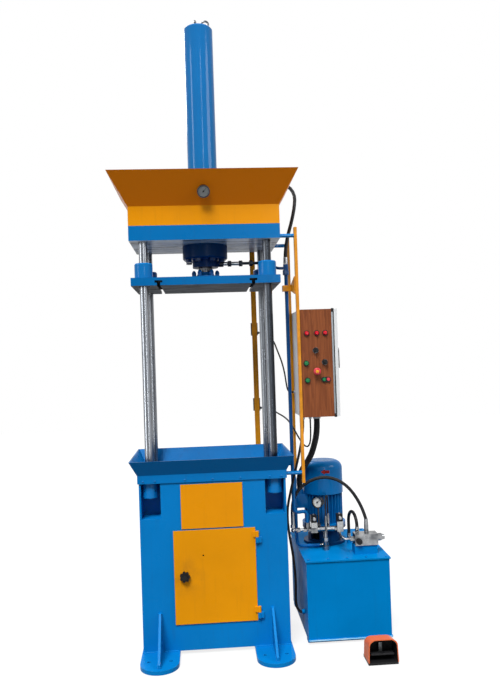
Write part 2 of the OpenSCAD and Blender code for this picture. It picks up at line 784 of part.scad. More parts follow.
// Posts, bars and pipes
module post(y) block([post_x - post_w / 2, y - post_d / 2, post_low],
    [post_x + post_w / 2, y + post_d / 2, post_top]);

module pipe_clamp() {
    back = post_x - post_w / 2;
    difference() {
        block([pipe_x - 22, pipe_y - clamp_d / 2, clamp_z], [back, pipe_y + clamp_d / 2, clamp_z + clamp_h]);
        translate([pipe_x, pipe_y, clamp_z - eps]) cylinder(d = pipe_d + 2 * seat, h = clamp_h + 2 * eps);
    }
    translate([back - 5, 0, clamp_z]) rotate([90, 0, 90]) linear_extrude(5)
        polygon([[front_post_y, -30], [front_post_y, clamp_h + 30], [front_post_y + post_d / 2, clamp_h + 30],
            [pipe_y - clamp_d / 2 + 1, clamp_h], [pipe_y - clamp_d / 2 + 1, 0],
                [front_post_y + post_d / 2, -30]]);
}

module rear_rail() {
    block([rail_x - rail_w / 2, rail_y, rail_low], [rail_x + rail_w / 2, rail_y + rail_t, rail_high]);
    block([rail_x - rail_w / 2, body_d / 2, rail_low], [rail_x + rail_w / 2, rail_y + 1, rail_low + 40]);
    block([rail_x - rail_w / 2, crown_d / 2, rail_high - 40], [rail_x + rail_w / 2, rail_y + 1, rail_high]);
}

module limit_switch(z) {
    translate([rail_x - switch_size.x / 2, rail_y + rail_t, z]) cube(switch_size);
    translate([rail_x + switch_size.x / 2 - 1, rail_y + rail_t + switch_size.y / 2,
        z + switch_size.x * 0.375])
        along_x() cylinder(d = cable_d + 6, h = upper_route[0].x - rail_x - switch_size.x / 2 + 1);
}

module support_posts() color(yellow) {
    post(front_post_y);
    post(rear_post_y);
    pipe_clamp();
    rear_rail();
    for (z = switch_z) limit_switch(z);
}

module standoff_bars() color(blue) for (y = [front_post_y, rear_post_y]) {
    translate([body_w / 2 + tray_t + seat, y, bar_z[0]]) along_x()
        cylinder(d = bar_d, h = post_x - post_w / 2 - body_w / 2 - tray_t - seat);
    translate([crown_w / 2, y, bar_z[1]]) along_x()
        cylinder(d = bar_d, h = post_x - post_w / 2 - crown_w / 2);
}

module pressure_pipe() {
    tube(bent([[pipe_x, pipe_y, pipe_top], [pipe_x, pipe_y, manifold_z + 105],
        [tee_x, manifold_y, manifold_z + 105],
        [tee_x, manifold_y, manifold_z + 40]], 34), pipe_d, 12);
    translate([pipe_x, pipe_y, pipe_top]) cylinder(d = 28, h = hose_start.z - pipe_top);
    translate([pipe_x, pipe_y, pipe_top - 24]) hexagon(30, 26);
}

module gland_pipe() {
    start = gland_d / 2 + port_boss;
    translate([start, 0, gland_port_z]) along_x() hexagon(30, 22);
    tube(bent([[start + 10, 0, gland_port_z], [pipe_x - 90, 0, gland_port_z],
        [pipe_x - 50, pipe_y, pipe_top + 14],
        [pipe_x - 6, pipe_y, pipe_top + 14]], 22), 16, 12);
    for (x = [0.28, 0.42, 0.55]) translate([x * pipe_x, 0, gland_port_z]) along_x() hexagon(28, 20);
}

module drain_pipe() {
    tube(bent([[body_w / 2, drain_y, bed_z - 20], [drain_x, drain_y, bed_z - 20], [drain_x, drain_y, drain_z],
        [drain_end, drain_y, drain_z]], 40), drain_d, 12);
    translate([drain_end - 2, drain_y, drain_z]) along_x() hexagon(28, 24);
    translate([drain_end + 20, drain_y, lid_top]) cylinder(d = 28, h = drain_z - lid_top + 14);
}

module cap_pipe() {
    tube(bent([[0, cap_port_y, cap_port_z], [0, hose_end.y, cap_port_z], [0, hose_end.y, hose_end.z],
        [hose_end.x - 4, hose_end.y, hose_end.z]], 12), 18, 12);
    translate([hose_end.x - 26, hose_end.y, hose_end.z]) along_x() hexagon(30, 26);
}

module oil_pipes() color(blue) {
    pressure_pipe();
    gland_pipe();
    drain_pipe();
    cap_pipe();
}

// Control box
module panel_holes(from, depth) {
    for (s = concat(lamp_spots, selector_spots, green_spots, [stop_spot]))
        translate([box_x + s.x, from, box_z + s.y]) along_y() cylinder(d = button_d + 2 * gap, h = depth);
    for (s = twin_spots) translate([box_x + s.x, from, box_z + s.y]) along_y()
        cylinder(d = twin_d + 2 * gap, h = depth);
}

module box_shell() color(grey) {
    difference() {
        block([box_x, box_y, box_z], [seam_x, box_y + box_d, box_z + box_h]);
        block([box_x + box_t, box_y + box_t, box_z + box_t],
            [seam_x + eps, box_y + box_d - box_t, box_z + box_h - box_t]);
        panel_holes(box_y - eps, box_t + 2 * eps);
    }
    for (z = box_hinge_z) translate([box_hinge_x, box_hinge_y, z]) {
        cylinder(d = box_hinge_d, h = box_hinge_len);
        cylinder(d = box_hinge_pin_d, h = 2 * box_hinge_len - 3);
        block([-box_hinge_x + seam_x - 24, -box_hinge_d / 2 - gap, 0],
            [0, box_hinge_d / 2 - 4, box_hinge_len]);
    }
    under_gland(conduit_route[0], conduit_d + 8);
    under_gland(lower_end, cable_d + 8);
    under_gland(level_route[0], level_d + 8);
    translate(upper_end) along_x() cylinder(d = cable_d + 8, h = box_x - upper_end.x);
}

module under_gland(at, d) translate(at) cylinder(d = d, h = box_z - at.z);

module box_front_panel() color(wood) difference() {
    block([box_x, panel_y, box_z], [seam_x - panel_inset, box_y, box_z + box_h]);
    panel_holes(panel_y - eps, panel_t + 2 * eps);
}

module box_door() color(grey) difference() {
    union() {
        difference() {
            block([seam_x + gap, box_y, box_z], [seam_x + box_door_t, box_y + box_d, box_z + box_h]);
            block([seam_x, box_y + 2, box_z + 2],
                [seam_x + box_door_t - 2, box_y + box_d - 2, box_z + box_h - 2]);
        }
        translate([seam_x + 4, handle_y, handle_z]) along_x() cylinder(d = handle_hub_d, h = box_door_t - 5);
        for (z = box_hinge_z) translate([box_hinge_x, box_hinge_y, z + box_hinge_len + gap]) {
            cylinder(d = box_hinge_d, h = box_hinge_len);
            block([2, -box_hinge_d / 2 - 2, 0],
                [seam_x + box_door_t - box_hinge_x, box_hinge_d / 2 - 4, box_hinge_len]);
        }
    }
    for (z = box_hinge_z) translate([box_hinge_x, box_hinge_y, z + box_hinge_len])
        cylinder(d = box_hinge_pin_d + 2 * run, h = box_hinge_len - 2);
    translate([seam_x, handle_y, handle_z]) along_x()
        cylinder(d = handle_bore_d + 2 * run, h = box_door_t + eps);
}

module box_handle() color(black) translate([seam_x + box_door_t, handle_y, handle_z]) {
    translate([-box_door_t + 3, 0, 0]) along_x() cylinder(d = handle_bore_d, h = box_door_t - 2);
    translate([gap, 0, 0]) along_x() cylinder(d = handle_hub_d, h = 6);
    translate([gap, -8, -handle_len]) rotate([90, 0, 90]) linear_extrude(9)
        polygon([[0, 10], [3, 0], [13, 0], [16, 10], [14, handle_len], [2, handle_len]]);
}

module switchgear_plate() color(grey) {
    block([box_x + box_t, box_y + 40, box_z + 50],
        [box_x + box_t + 4, box_y + box_d - 40, box_z + box_h - 40]);
    for (i = [0 : 3]) block([box_x + box_t + 4, box_y + 60 + i * 60, box_z + 380],
        [box_x + box_t + 64, box_y + 108 + i * 60, box_z + 470]);
    for (i = [0 : 2]) block([box_x + box_t + 4, box_y + 70 + i * 78, box_z + 220],
        [box_x + box_t + 56, box_y + 130 + i * 78, box_z + 310]);
    block([box_x + box_t + 4, box_y + 60, box_z + 100],
        [box_x + box_t + 42, box_y + box_d - 60, box_z + 145]);
}

module pilot_lamps() color("#c21f2b") for (s = lamp_spots)
    translate([box_x + s.x, panel_y - collar_h + 1, box_z + s.y]) rotate([90, 0, 0]) {
    translate([0, 0, -button_in]) cylinder(d = button_d, h = button_in + 5);
    translate([0, 0, 5]) cylinder(d1 = button_d, d2 = button_d * 0.6, h = 6);
}

module collar_ring(inner) difference() {
    cylinder(d = collar_d, h = collar_h);
    translate([0, 0, -eps]) cylinder(d = inner + 2 * gap, h = collar_h + 2 * eps);
}

module button_collars() color(black) {
    for (s = concat(lamp_spots, green_spots, selector_spots, [stop_spot]))
        translate([box_x + s.x, panel_y, box_z + s.y]) rotate([90, 0, 0]) collar_ring(button_d);
    difference() {
        translate([box_x, panel_y, box_z]) rotate([90, 0, 0]) linear_extrude(collar_h) hull()
            for (s = twin_spots) translate([s.x, s.y]) circle(d = twin_d + 10, $fn = 32);
        panel_holes(panel_y - collar_h - eps, collar_h + 2 * eps);
    }
}

module on_panel(s) translate([box_x + s.x, panel_y - collar_h, box_z + s.y]) rotate([90, 0, 0]) children();

module push_button(d, out) {
    translate([0, 0, -button_in]) cylinder(d = d, h = button_in + out);
    translate([0, 0, out]) cylinder(d1 = d, d2 = d - 4, h = 2);
}

module selector() {
    translate([0, 0, -button_in]) cylinder(d = button_d, h = button_in + 4);
    translate([0, 0, 4]) cylinder(d = button_d + 4, h = 5);
    translate([-button_d / 2 - 2, -4, 9]) cube([button_d + 4, 8, 9]);
}

module selector_upper() color(black) on_panel(selector_spots[0]) rotate([0, 0, 90]) selector();
module selector_lower() color(black) on_panel(selector_spots[1]) rotate([0, 0, 135]) selector();
module start_button() color("#0c7a3e") on_panel(green_spots[0]) push_button(button_d, button_out);
module return_button() color("#0c7a3e") on_panel(green_spots[1]) push_button(button_d, button_out);
module twin_start() color("#12a05a") on_panel(twin_spots[0]) push_button(twin_d, button_out);
module twin_stop() color("#c21f2b") on_panel(twin_spots[1]) push_button(twin_d, button_out);

module emergency_stop() color("#c8362f") on_panel(stop_spot) {
    translate([0, 0, -button_in]) cylinder(d = button_d, h = button_in + 10);
    translate([0, 0, 10]) cylinder(d1 = button_d, d2 = stop_d, h = 6);
    translate([0, 0, 16]) cylinder(d = stop_d, h = 6);
    translate([0, 0, 22]) cylinder(d1 = stop_d, d2 = stop_d - 14, h = 5);
}

// Power pack
module oil_tank() color(blue) {
    difference() {
        block([tank_x, tank_y, skid_h], [tank_x + tank_w, tank_y + tank_d, tank_top]);
        block([tank_x + tank_t, tank_y + tank_t, skid_h + tank_t],
            [tank_x + tank_w - tank_t, tank_y + tank_d - tank_t, tank_top + eps]);
    }
    for (y = [tank_y + 20, tank_y + tank_d - 70]) block([tank_x, y, 0], [tank_x + tank_w, y + 50, skid_h]);
    block([tank_x - 3, tank_y - 8, skid_h], [tank_x + tank_w + 3, tank_y + 1, skid_h + 10]);
    translate(level_end) along_x() cylinder(d = level_d + 10, h = tank_x + 1 - level_end.x);
}

module tank_lid() color(blue) {
    difference() {
        block([tank_x - lid_over, tank_y - lid_over, tank_top],
            [tank_x + tank_w + lid_over, tank_y + tank_d + lid_over, lid_top]);
        translate([motor_x, motor_y, tank_top - eps]) cylinder(d = bell_bore_d, h = lid_t + 2 * eps);
    }
    difference() {
        block([relief_x - 4, relief_y + 6, lid_top],
            [relief_x + relief_size.x - 4, relief_y + relief_size.y, relief_z]);
        block([relief_x, relief_y + 10, lid_top],
            [relief_x + relief_size.x - 8, relief_y + relief_size.y + eps, relief_z - 4]);
    }
    translate([return_route[0].x, return_route[0].y, lid_top])
        cylinder(d = return_d + 10, h = return_route[0].z - lid_top);
}

module bell_housing() color(dark_blue) translate([motor_x, motor_y, lid_top]) difference() {
    union() {
        cylinder(d = motor_flange_d - 10, h = 14);
        cylinder(d = bell_neck_d, h = bell_h);
        translate([0, 0, bell_h - 16]) cylinder(d = motor_flange_d, h = 16);
    }
    translate([0, 0, -eps]) cylinder(d = bell_bore_d, h = bell_h + 2 * eps);
    for (a = [45, 225]) rotate([0, 0, a]) translate([0, -window_w / 2, window_up])
        cube([motor_flange_d, window_w, window_h]);
}

module motor_body() color(blue) translate([motor_x, motor_y, motor_z]) {
    difference() {
        union() {
            cylinder(d = motor_flange_d, h = motor_flange_t);
            translate([0, 0, motor_flange_t]) linear_extrude(motor_h) union() {
                circle(d = stator_d);
                for (a = [0 : fin_count - 1]) rotate(a * 360 / fin_count)
                    translate([stator_d / 2 - 3, -1.5]) square([(motor_d - stator_d) / 2 + 3, 3]);
            }
            translate([terminal_x - motor_x, -terminal_size.y / 2, terminal_z - motor_z]) cube(terminal_size);
        }
        translate([0, 0, -eps]) cylinder(d = shaft_d + 2 * run, h = motor_h + motor_flange_t + 2 * eps);
    }
    for (a = [45 : 90 : 315]) rotate([0, 0, a]) translate([motor_flange_d / 2 - 16, 0, motor_flange_t])
        hexagon(19, 10);
    translate([conduit_end.x - motor_x, conduit_end.y - motor_y, terminal_z + terminal_size.z - motor_z])
        cylinder(d = conduit_d + 6, h = conduit_end.z - terminal_z - terminal_size.z);
}

module cowl_profile(inset) {
    r = cowl_d / 2 - inset;
    h = cowl_h - inset;
    c = cowl_round - inset;
    union() {
        square([r, h - c]);
        square([r - c, h]);
        translate([r - c, h - c]) intersection() {
            circle(r = c);
            square(c);
        }
    }
}

module motor_cowl() color(blue) translate([motor_x, motor_y, cowl_z]) difference() {
    translate([0, 0, -cowl_skirt]) rotate_extrude() cowl_profile(0);
    translate([0, 0, -cowl_skirt - eps]) cylinder(d = motor_d + 2 * seat, h = cowl_skirt + eps);
    translate([0, 0, -eps]) cylinder(d = motor_d - 2 * cowl_lip, h = cowl_lip + 2 * eps);
    intersection() {
        translate([0, 0, -cowl_skirt]) rotate_extrude() cowl_profile(cowl_t);
        translate([0, 0, cowl_lip]) cylinder(d = cowl_d, h = cowl_h);
    }
    for (r = vent_rings, a = [0 : 30 : 330]) rotate([0, 0, a + r])
        translate([r, 0, cowl_h - cowl_skirt - cowl_t - 5]) cylinder(d = vent_d, h = 20);
}

module motor_rotor() color(steel) translate([motor_x, motor_y, 0]) {
    translate([0, 0, motor_z - shaft_down])
        cylinder(d = shaft_d, h = cowl_z + shaft_up - motor_z + shaft_down);
    translate([0, 0, motor_z - coupling_down]) cylinder(d = coupling_d, h = coupling_h);
    translate([0, 0, cowl_z + fan_up]) cylinder(d = fan_hub_d, h = fan_hub_h);
    for (a = [0 : fan_blades - 1]) rotate([0, 0, a * 360 / fan_blades])
        translate([fan_root, -blade_t / 2, cowl_z + fan_up]) cube([fan_d / 2 - fan_root, blade_t, fan_h]);
}

module pump() color(steel) translate([motor_x, motor_y, 0]) {
    translate([0, 0, tank_top - pump_h]) cylinder(d = pump_d, h = pump_h);
    translate([0, 0, tank_top - 1]) cylinder(d = bell_bore_d - 2 * seat, h = lid_t + 1);
    translate([0, 0, lid_top]) cylinder(d = pump_shaft_d, h = motor_z - coupling_down - lid_top - gap);
    translate([0, 0, skid_h + suction_up])
        cylinder(d = suction_d, h = tank_top - pump_h - skid_h - suction_up + 1);
}

module valve_manifold() color(steel) {
    translate([manifold_low, manifold_y, manifold_z]) along_x()
        cylinder(d = manifold_d, h = manifold_high - manifold_low);
    translate([union_x, manifold_y, manifold_z]) along_x() cylinder(d = 16, h = valve_x[1] - union_x);
    for (x = [union_x + 20, tee_x - 22, tee_x + 6, manifold_low - 24, manifold_high + 2])
        translate([x, manifold_y, manifold_z]) along_x() hexagon(24, 17);
    translate([tee_x, manifold_y, manifold_z]) cylinder(d = 18, h = 38);
    translate([tee_x, manifold_y, manifold_z + 14]) hexagon(27, 25);
    translate([union_x, manifold_y, manifold_z]) sphere(d = 26);
    translate([union_x, manifold_y, manifold_z]) cylinder(d = 16, h = 40);
    translate([union_x, manifold_y, manifold_z + 28]) cylinder(d = 24, h = arch_route[0].z - manifold_z - 28);
    translate([union_x, manifold_y, manifold_z + 14]) hexagon(26, 16);
    translate([manifold_low + 45, manifold_y, lid_top]) cylinder(d = 22, h = manifold_z - lid_top);
    translate([manifold_low + 45, manifold_y, lid_top]) hexagon(34, 22);
    translate([manifold_low + 45, manifold_y, lid_top + 48]) hexagon(30, 20);
    for (p = [gauge_route[0], gauge_end]) {
        translate([p.x, manifold_y, manifold_z]) rotate([p.y > manifold_y ? -90 : 90, 0, 0])
            cylinder(d = stub_d - 2, h = abs(p.y - manifold_y));
        translate([p.x, p.y, manifold_z - stub_drop]) cylinder(d = stub_d, h = p.z - manifold_z + stub_drop);
    }
    for (x = valve_x) block([x - valve_size.x / 2, manifold_y - valve_size.y / 2,
        manifold_z - manifold_d / 2],
        [x + valve_size.x / 2, manifold_y + valve_size.y / 2, manifold_z + manifold_d / 2]);
    tube(bent([[valve_x[1], manifold_y, manifold_z - 10], [valve_x[1], manifold_y, relief_z + 30],
        [valve_x[1], relief_y + 35, relief_z + 30], [relief_x - 4, relief_y + 35, relief_z + 30]], 20),
            14, 12);
    translate([relief_x - 22, relief_y + 35, relief_z + 30]) along_x() hexagon(24, 22);
}

module solenoid_valve(x) {
    color(chrome) block([x - valve_size.x / 2, manifold_y - valve_size.y / 2, manifold_z + manifold_d / 2],
        [x + valve_size.x / 2, manifold_y + valve_size.y / 2, manifold_z + manifold_d / 2 + valve_size.z]);
    color(black) block([x - coil_size.x / 2, manifold_y - coil_size.y / 2,
        manifold_z + manifold_d / 2 + valve_size.z],
        [x + coil_size.x / 2, manifold_y + coil_size.y / 2,
            manifold_z + manifold_d / 2 + valve_size.z + coil_size.z]);
}

module solenoid_valves() for (x = valve_x) solenoid_valve(x);

module relief_block() color(steel) {
    difference() {
        translate([relief_x, relief_y, relief_z]) cube(relief_size);
        translate([relief_knob_x, relief_y - eps, relief_knob_z]) along_y()
            cylinder(d = relief_spindle_d + 2 * run, h = 30);
    }
    translate([relief_x + relief_size.x, relief_y + 35, relief_z + 34]) along_x() {
        hexagon(36, 26);
        translate([0, 0, 26]) cylinder(d1 = 34, d2 = 26, h = 16);
    }
    translate([arch_end.x, arch_end.y, relief_z + relief_size.z])
        cylinder(d = 24, h = arch_end.z - relief_z - relief_size.z);
    translate([return_end.x, relief_y + relief_size.y - 1, return_end.z - 20]) along_y()
        cylinder(d = 20, h = return_end.y - relief_y - relief_size.y + 11);
    translate([return_end.x, return_end.y, return_end.z - 32]) cylinder(d = return_d + 8, h = 32);
}

module relief_knob() color(black) translate([relief_knob_x, relief_y - gap, relief_knob_z]) {
    rotate([90, 0, 0]) lobed_grip(relief_knob_d, 10, relief_knob_h);
    translate([0, -eps, 0]) along_y() cylinder(d = relief_spindle_d, h = 26);
}

// Cords
module arch_hose() color(black) tube(arch_route, arch_d);
module gauge_hose() color(black) tube(gauge_route, gauge_hose_d);
module return_hose() color(black) tube(return_route, return_d);
module cylinder_hose() color(black) tube(cylinder_route, cylinder_hose_d);
module control_conduit() color(black) tube(conduit_route, conduit_d, 12);
module limit_cable_upper() color(black) tube(upper_route, cable_d, 8);
module limit_cable_lower() color(black) tube(lower_route, cable_d, 8);
module level_cable() color(black) tube(level_route, level_d, 8);

// Foot switch
module hood_outline(inset) {
    w = hood_w / 2 - inset;
    h = hood_h - inset;
    c = hood_chamfer - inset * 0.4;
    polygon([[-w, 0], [-w, h - c], [-w + c, h], [w - c, h], [w, h - c], [w, 0]]);
}

module pedal_base() color(black) {
    block([pedal_x - hood_w / 2 + 1, pedal_y + 4, 0],
        [pedal_x + hood_w / 2 - 1, pedal_y + hood_d + 14, pedal_base_h]);
    for (x = [-1, 1]) difference() {
        block([pedal_x + x * (treadle_w / 2 + 5) - 4, treadle_pin_y - 10, pedal_base_h],
            [pedal_x + x * (treadle_w / 2 + 5) + 4, treadle_pin_y + 10, treadle_pin_z + 10]);
        translate([pedal_x - hood_w, treadle_pin_y, treadle_pin_z]) along_x()
            cylinder(d = treadle_pin_d + 2 * run, h = 2 * hood_w);
    }
    translate([pedal_x, pedal_y + hood_d + 4, pedal_base_h + 16]) along_y() cylinder(d = 20, h = 24);
    block([pedal_x - 16, pedal_y + hood_d, pedal_base_h],
        [pedal_x + 16, pedal_y + hood_d + 12, pedal_base_h + 32]);
}

module pedal_hood() color(orange) difference() {
    translate([pedal_x, pedal_y + hood_d, pedal_base_h]) rotate([90, 0, 0]) linear_extrude(hood_d)
        hood_outline(0);
    translate([pedal_x, pedal_y + hood_d - hood_t, pedal_base_h]) rotate([90, 0, 0])
        linear_extrude(hood_d) translate([0, -eps]) hood_outline(hood_t);
}

module pedal_treadle() color(black) {
    translate([pedal_x - treadle_w / 2 - 9, treadle_pin_y, treadle_pin_z]) along_x()
        cylinder(d = treadle_pin_d, h = treadle_w + 18);
    translate([pedal_x - treadle_w / 2, treadle_pin_y, treadle_pin_z]) rotate([90, 0, 90])
        linear_extrude(treadle_w)
        polygon([[6, -6], [-2, -7], [-62, 12], [-64, 17], [-60, 20], [-6, 10], [6, 6]]);
    block([pedal_x - 8, treadle_pin_y - 16, treadle_pin_z + 8],
        [pedal_x + 8, treadle_pin_y - 8, treadle_pin_z + 56]);
}

base_cabinet();
anchor_feet();
bed_plate();
oil_tray();
frame_screws();
cover_plate();
cabinet_door();
latch_knob();
columns();
column_nuts();
crown_plate();
crown_collar();
cylinder_barrel();
cylinder_flange();
gland_head();
piston_rod();
moving_platen();
guide_bushings();
gauge_cases();
top_gauge_needle();
pack_gauge_needle();
support_posts();
standoff_bars();
oil_pipes();
box_shell();
box_front_panel();
box_door();
box_handle();
switchgear_plate();
pilot_lamps();
button_collars();
selector_upper();
selector_lower();
start_button();
return_button();
emergency_stop();
twin_start();
twin_stop();
oil_tank();
tank_lid();
bell_housing();
motor_body();
motor_cowl();
motor_rotor();
pump();
valve_manifold();
solenoid_valves();
relief_block();
relief_knob();
arch_hose();
gauge_hose();
return_hose();
cylinder_hose();
control_conduit();
limit_cable_upper();
limit_cable_lower();
level_cable();
pedal_base();
pedal_hood();
pedal_treadle();
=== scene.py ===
import json
import math

import bmesh
import bpy
from mathutils import Matrix, Vector


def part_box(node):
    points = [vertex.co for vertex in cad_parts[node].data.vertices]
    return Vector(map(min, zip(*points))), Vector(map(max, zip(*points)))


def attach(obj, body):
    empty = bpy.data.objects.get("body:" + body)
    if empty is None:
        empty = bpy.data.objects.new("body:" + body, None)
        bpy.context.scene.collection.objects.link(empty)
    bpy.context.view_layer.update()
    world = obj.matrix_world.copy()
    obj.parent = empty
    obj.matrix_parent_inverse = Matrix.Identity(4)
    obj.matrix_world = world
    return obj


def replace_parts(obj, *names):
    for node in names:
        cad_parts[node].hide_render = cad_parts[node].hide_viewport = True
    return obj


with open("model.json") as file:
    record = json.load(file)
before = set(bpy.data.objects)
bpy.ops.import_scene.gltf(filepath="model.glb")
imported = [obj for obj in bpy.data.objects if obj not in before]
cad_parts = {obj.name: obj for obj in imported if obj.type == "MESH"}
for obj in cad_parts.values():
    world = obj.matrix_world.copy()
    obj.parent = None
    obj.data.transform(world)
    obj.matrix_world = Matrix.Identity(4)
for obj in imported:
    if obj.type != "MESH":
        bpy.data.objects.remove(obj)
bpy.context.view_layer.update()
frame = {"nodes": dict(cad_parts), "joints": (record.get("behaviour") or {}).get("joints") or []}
nodes = frame["nodes"]
jointOf = {j["name"]: j for j in frame["joints"]}
scene = bpy.context.scene
print("frame loaded:", len(nodes), "nodes")

# Camera, as the photograph was taken
shot = {
    "place": (-0.0264, -3.7683, 1.5027),  # metres
    "yaw": 0.0685, "pitch": 0.0149, "roll": -0.0331,  # radians
    "lens": 34.97, "sensor": 36.0,  # millimetres, on the long side
}


def makeCamera():
    yaw, pitch, roll = shot["yaw"], shot["pitch"], shot["roll"]
    side = Vector((math.cos(yaw), -math.sin(yaw), 0))
    ahead = Vector((math.sin(yaw) * math.cos(pitch), math.cos(yaw) * math.cos(pitch), math.sin(pitch)))
    up = side.cross(ahead)
    right = math.cos(roll) * side + math.sin(roll) * up
    top = math.cos(roll) * up - math.sin(roll) * side
    data = bpy.data.cameras.new("photoCamera")
    data.lens = shot["lens"]
    data.sensor_width = shot["sensor"]
    data.sensor_fit = "AUTO"
    data.clip_end = 60
    camera = bpy.data.objects.new("photoCamera", data)
    turn = Matrix((right, top, -ahead)).transposed().to_4x4()
    camera.matrix_world = Matrix.Translation(Vector(shot["place"])) @ turn
    scene.collection.objects.link(camera)
    scene.camera = camera


makeCamera()


# Small helpers for meshes
def link(name, mesh, body, material):
    obj = bpy.data.objects.new(name, mesh)
    scene.collection.objects.link(obj)
    obj.data.materials.append(material)
    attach(obj, body)
    return obj


def smoothMesh(name, bm):
    bmesh.ops.recalc_face_normals(bm, faces=bm.faces)
    mesh = bpy.data.meshes.new(name)
    bm.to_mesh(mesh)
    bm.free()
    for face in mesh.polygons:
        face.use_smooth = True
    return mesh


def fromBmesh(name, bm, body, material, smooth=35):
    mesh = smoothMesh(name, bm)
    mesh.set_sharp_from_angle(angle=math.radians(smooth))
    return link(name, mesh, body, material)


def addBox(bm, low, high, bevel=0.0):
    centre = (Vector(low) + Vector(high)) / 2
    size = Vector(high) - Vector(low)
    made = bmesh.ops.create_cube(bm, size=1, matrix=Matrix.Translation(centre) @ Matrix.Diagonal((*size, 1)))
    if bevel:
        edges = {e for v in made["verts"] for e in v.link_edges}
        bmesh.ops.bevel(bm, geom=list(edges), offset=bevel, segments=2, affect="EDGES", profile=0.5)


def addLoop(bm, at, u, v, radius, sides):
    turns = [2 * math.pi * k / sides for k in range(sides)]
    return [bm.verts.new(at + radius * (math.cos(a) * u + math.sin(a) * v)) for a in turns]


def skin(bm, loops):
    for a, b in zip(loops, loops[1:]):
        sides = len(a)
        for k in range(sides):
            bm.faces.new((a[k], a[(k + 1) % sides], b[(k + 1) % sides], b[k]))


def closedSkin(bm, loops):
    skin(bm, loops)
    bm.faces.new(loops[0])
    bm.faces.new(list(reversed(loops[-1])))


def crossAxes(axis):
    axis = Vector(axis).normalized()
    u = axis.orthogonal().normalized()
    return axis, u, axis.cross(u)


def addRound(bm, start, axis, radii, sides=32):
    # radii: (distance along the axis, radius) pairs, turned about the axis
    axis, u, v = crossAxes(axis)
    start = Vector(start)
    closedSkin(bm, [addLoop(bm, start + axis * along, u, v, radius, sides) for along, radius in radii])


def addRing(bm, start, axis, inner, outer, height, sides=40):
    axis, u, v = crossAxes(axis)
    loops = [addLoop(bm, Vector(start) + axis * along, u, v, radius, sides)
             for radius, along in ((inner, 0), (outer, 0), (outer, height), (inner, height))]
    skin(bm, loops + loops[:1])


def sweep(bm, points, radiusAt, sides=10):
    points = [Vector(p) for p in points]
    side = None
    rings = []
    for i, p in enumerate(points):
        ahead = (points[min(i + 1, len(points) - 1)] - points[max(i - 1, 0)]).normalized()
        side = ahead.orthogonal() if side is None else side - ahead * side.dot(ahead)
        side = side.normalized()
        other = ahead.cross(side)
        rings.append(addLoop(bm, p, side, other, radiusAt(i), sides))
    closedSkin(bm, rings)


# Small helpers for materials
def linear(r, g, b):
    def one(c):
        c = c / 255
        return c / 12.92 if c <= 0.04045 else ((c + 0.055) / 1.055) ** 2.4
    return (one(r), one(g), one(b), 1.0)


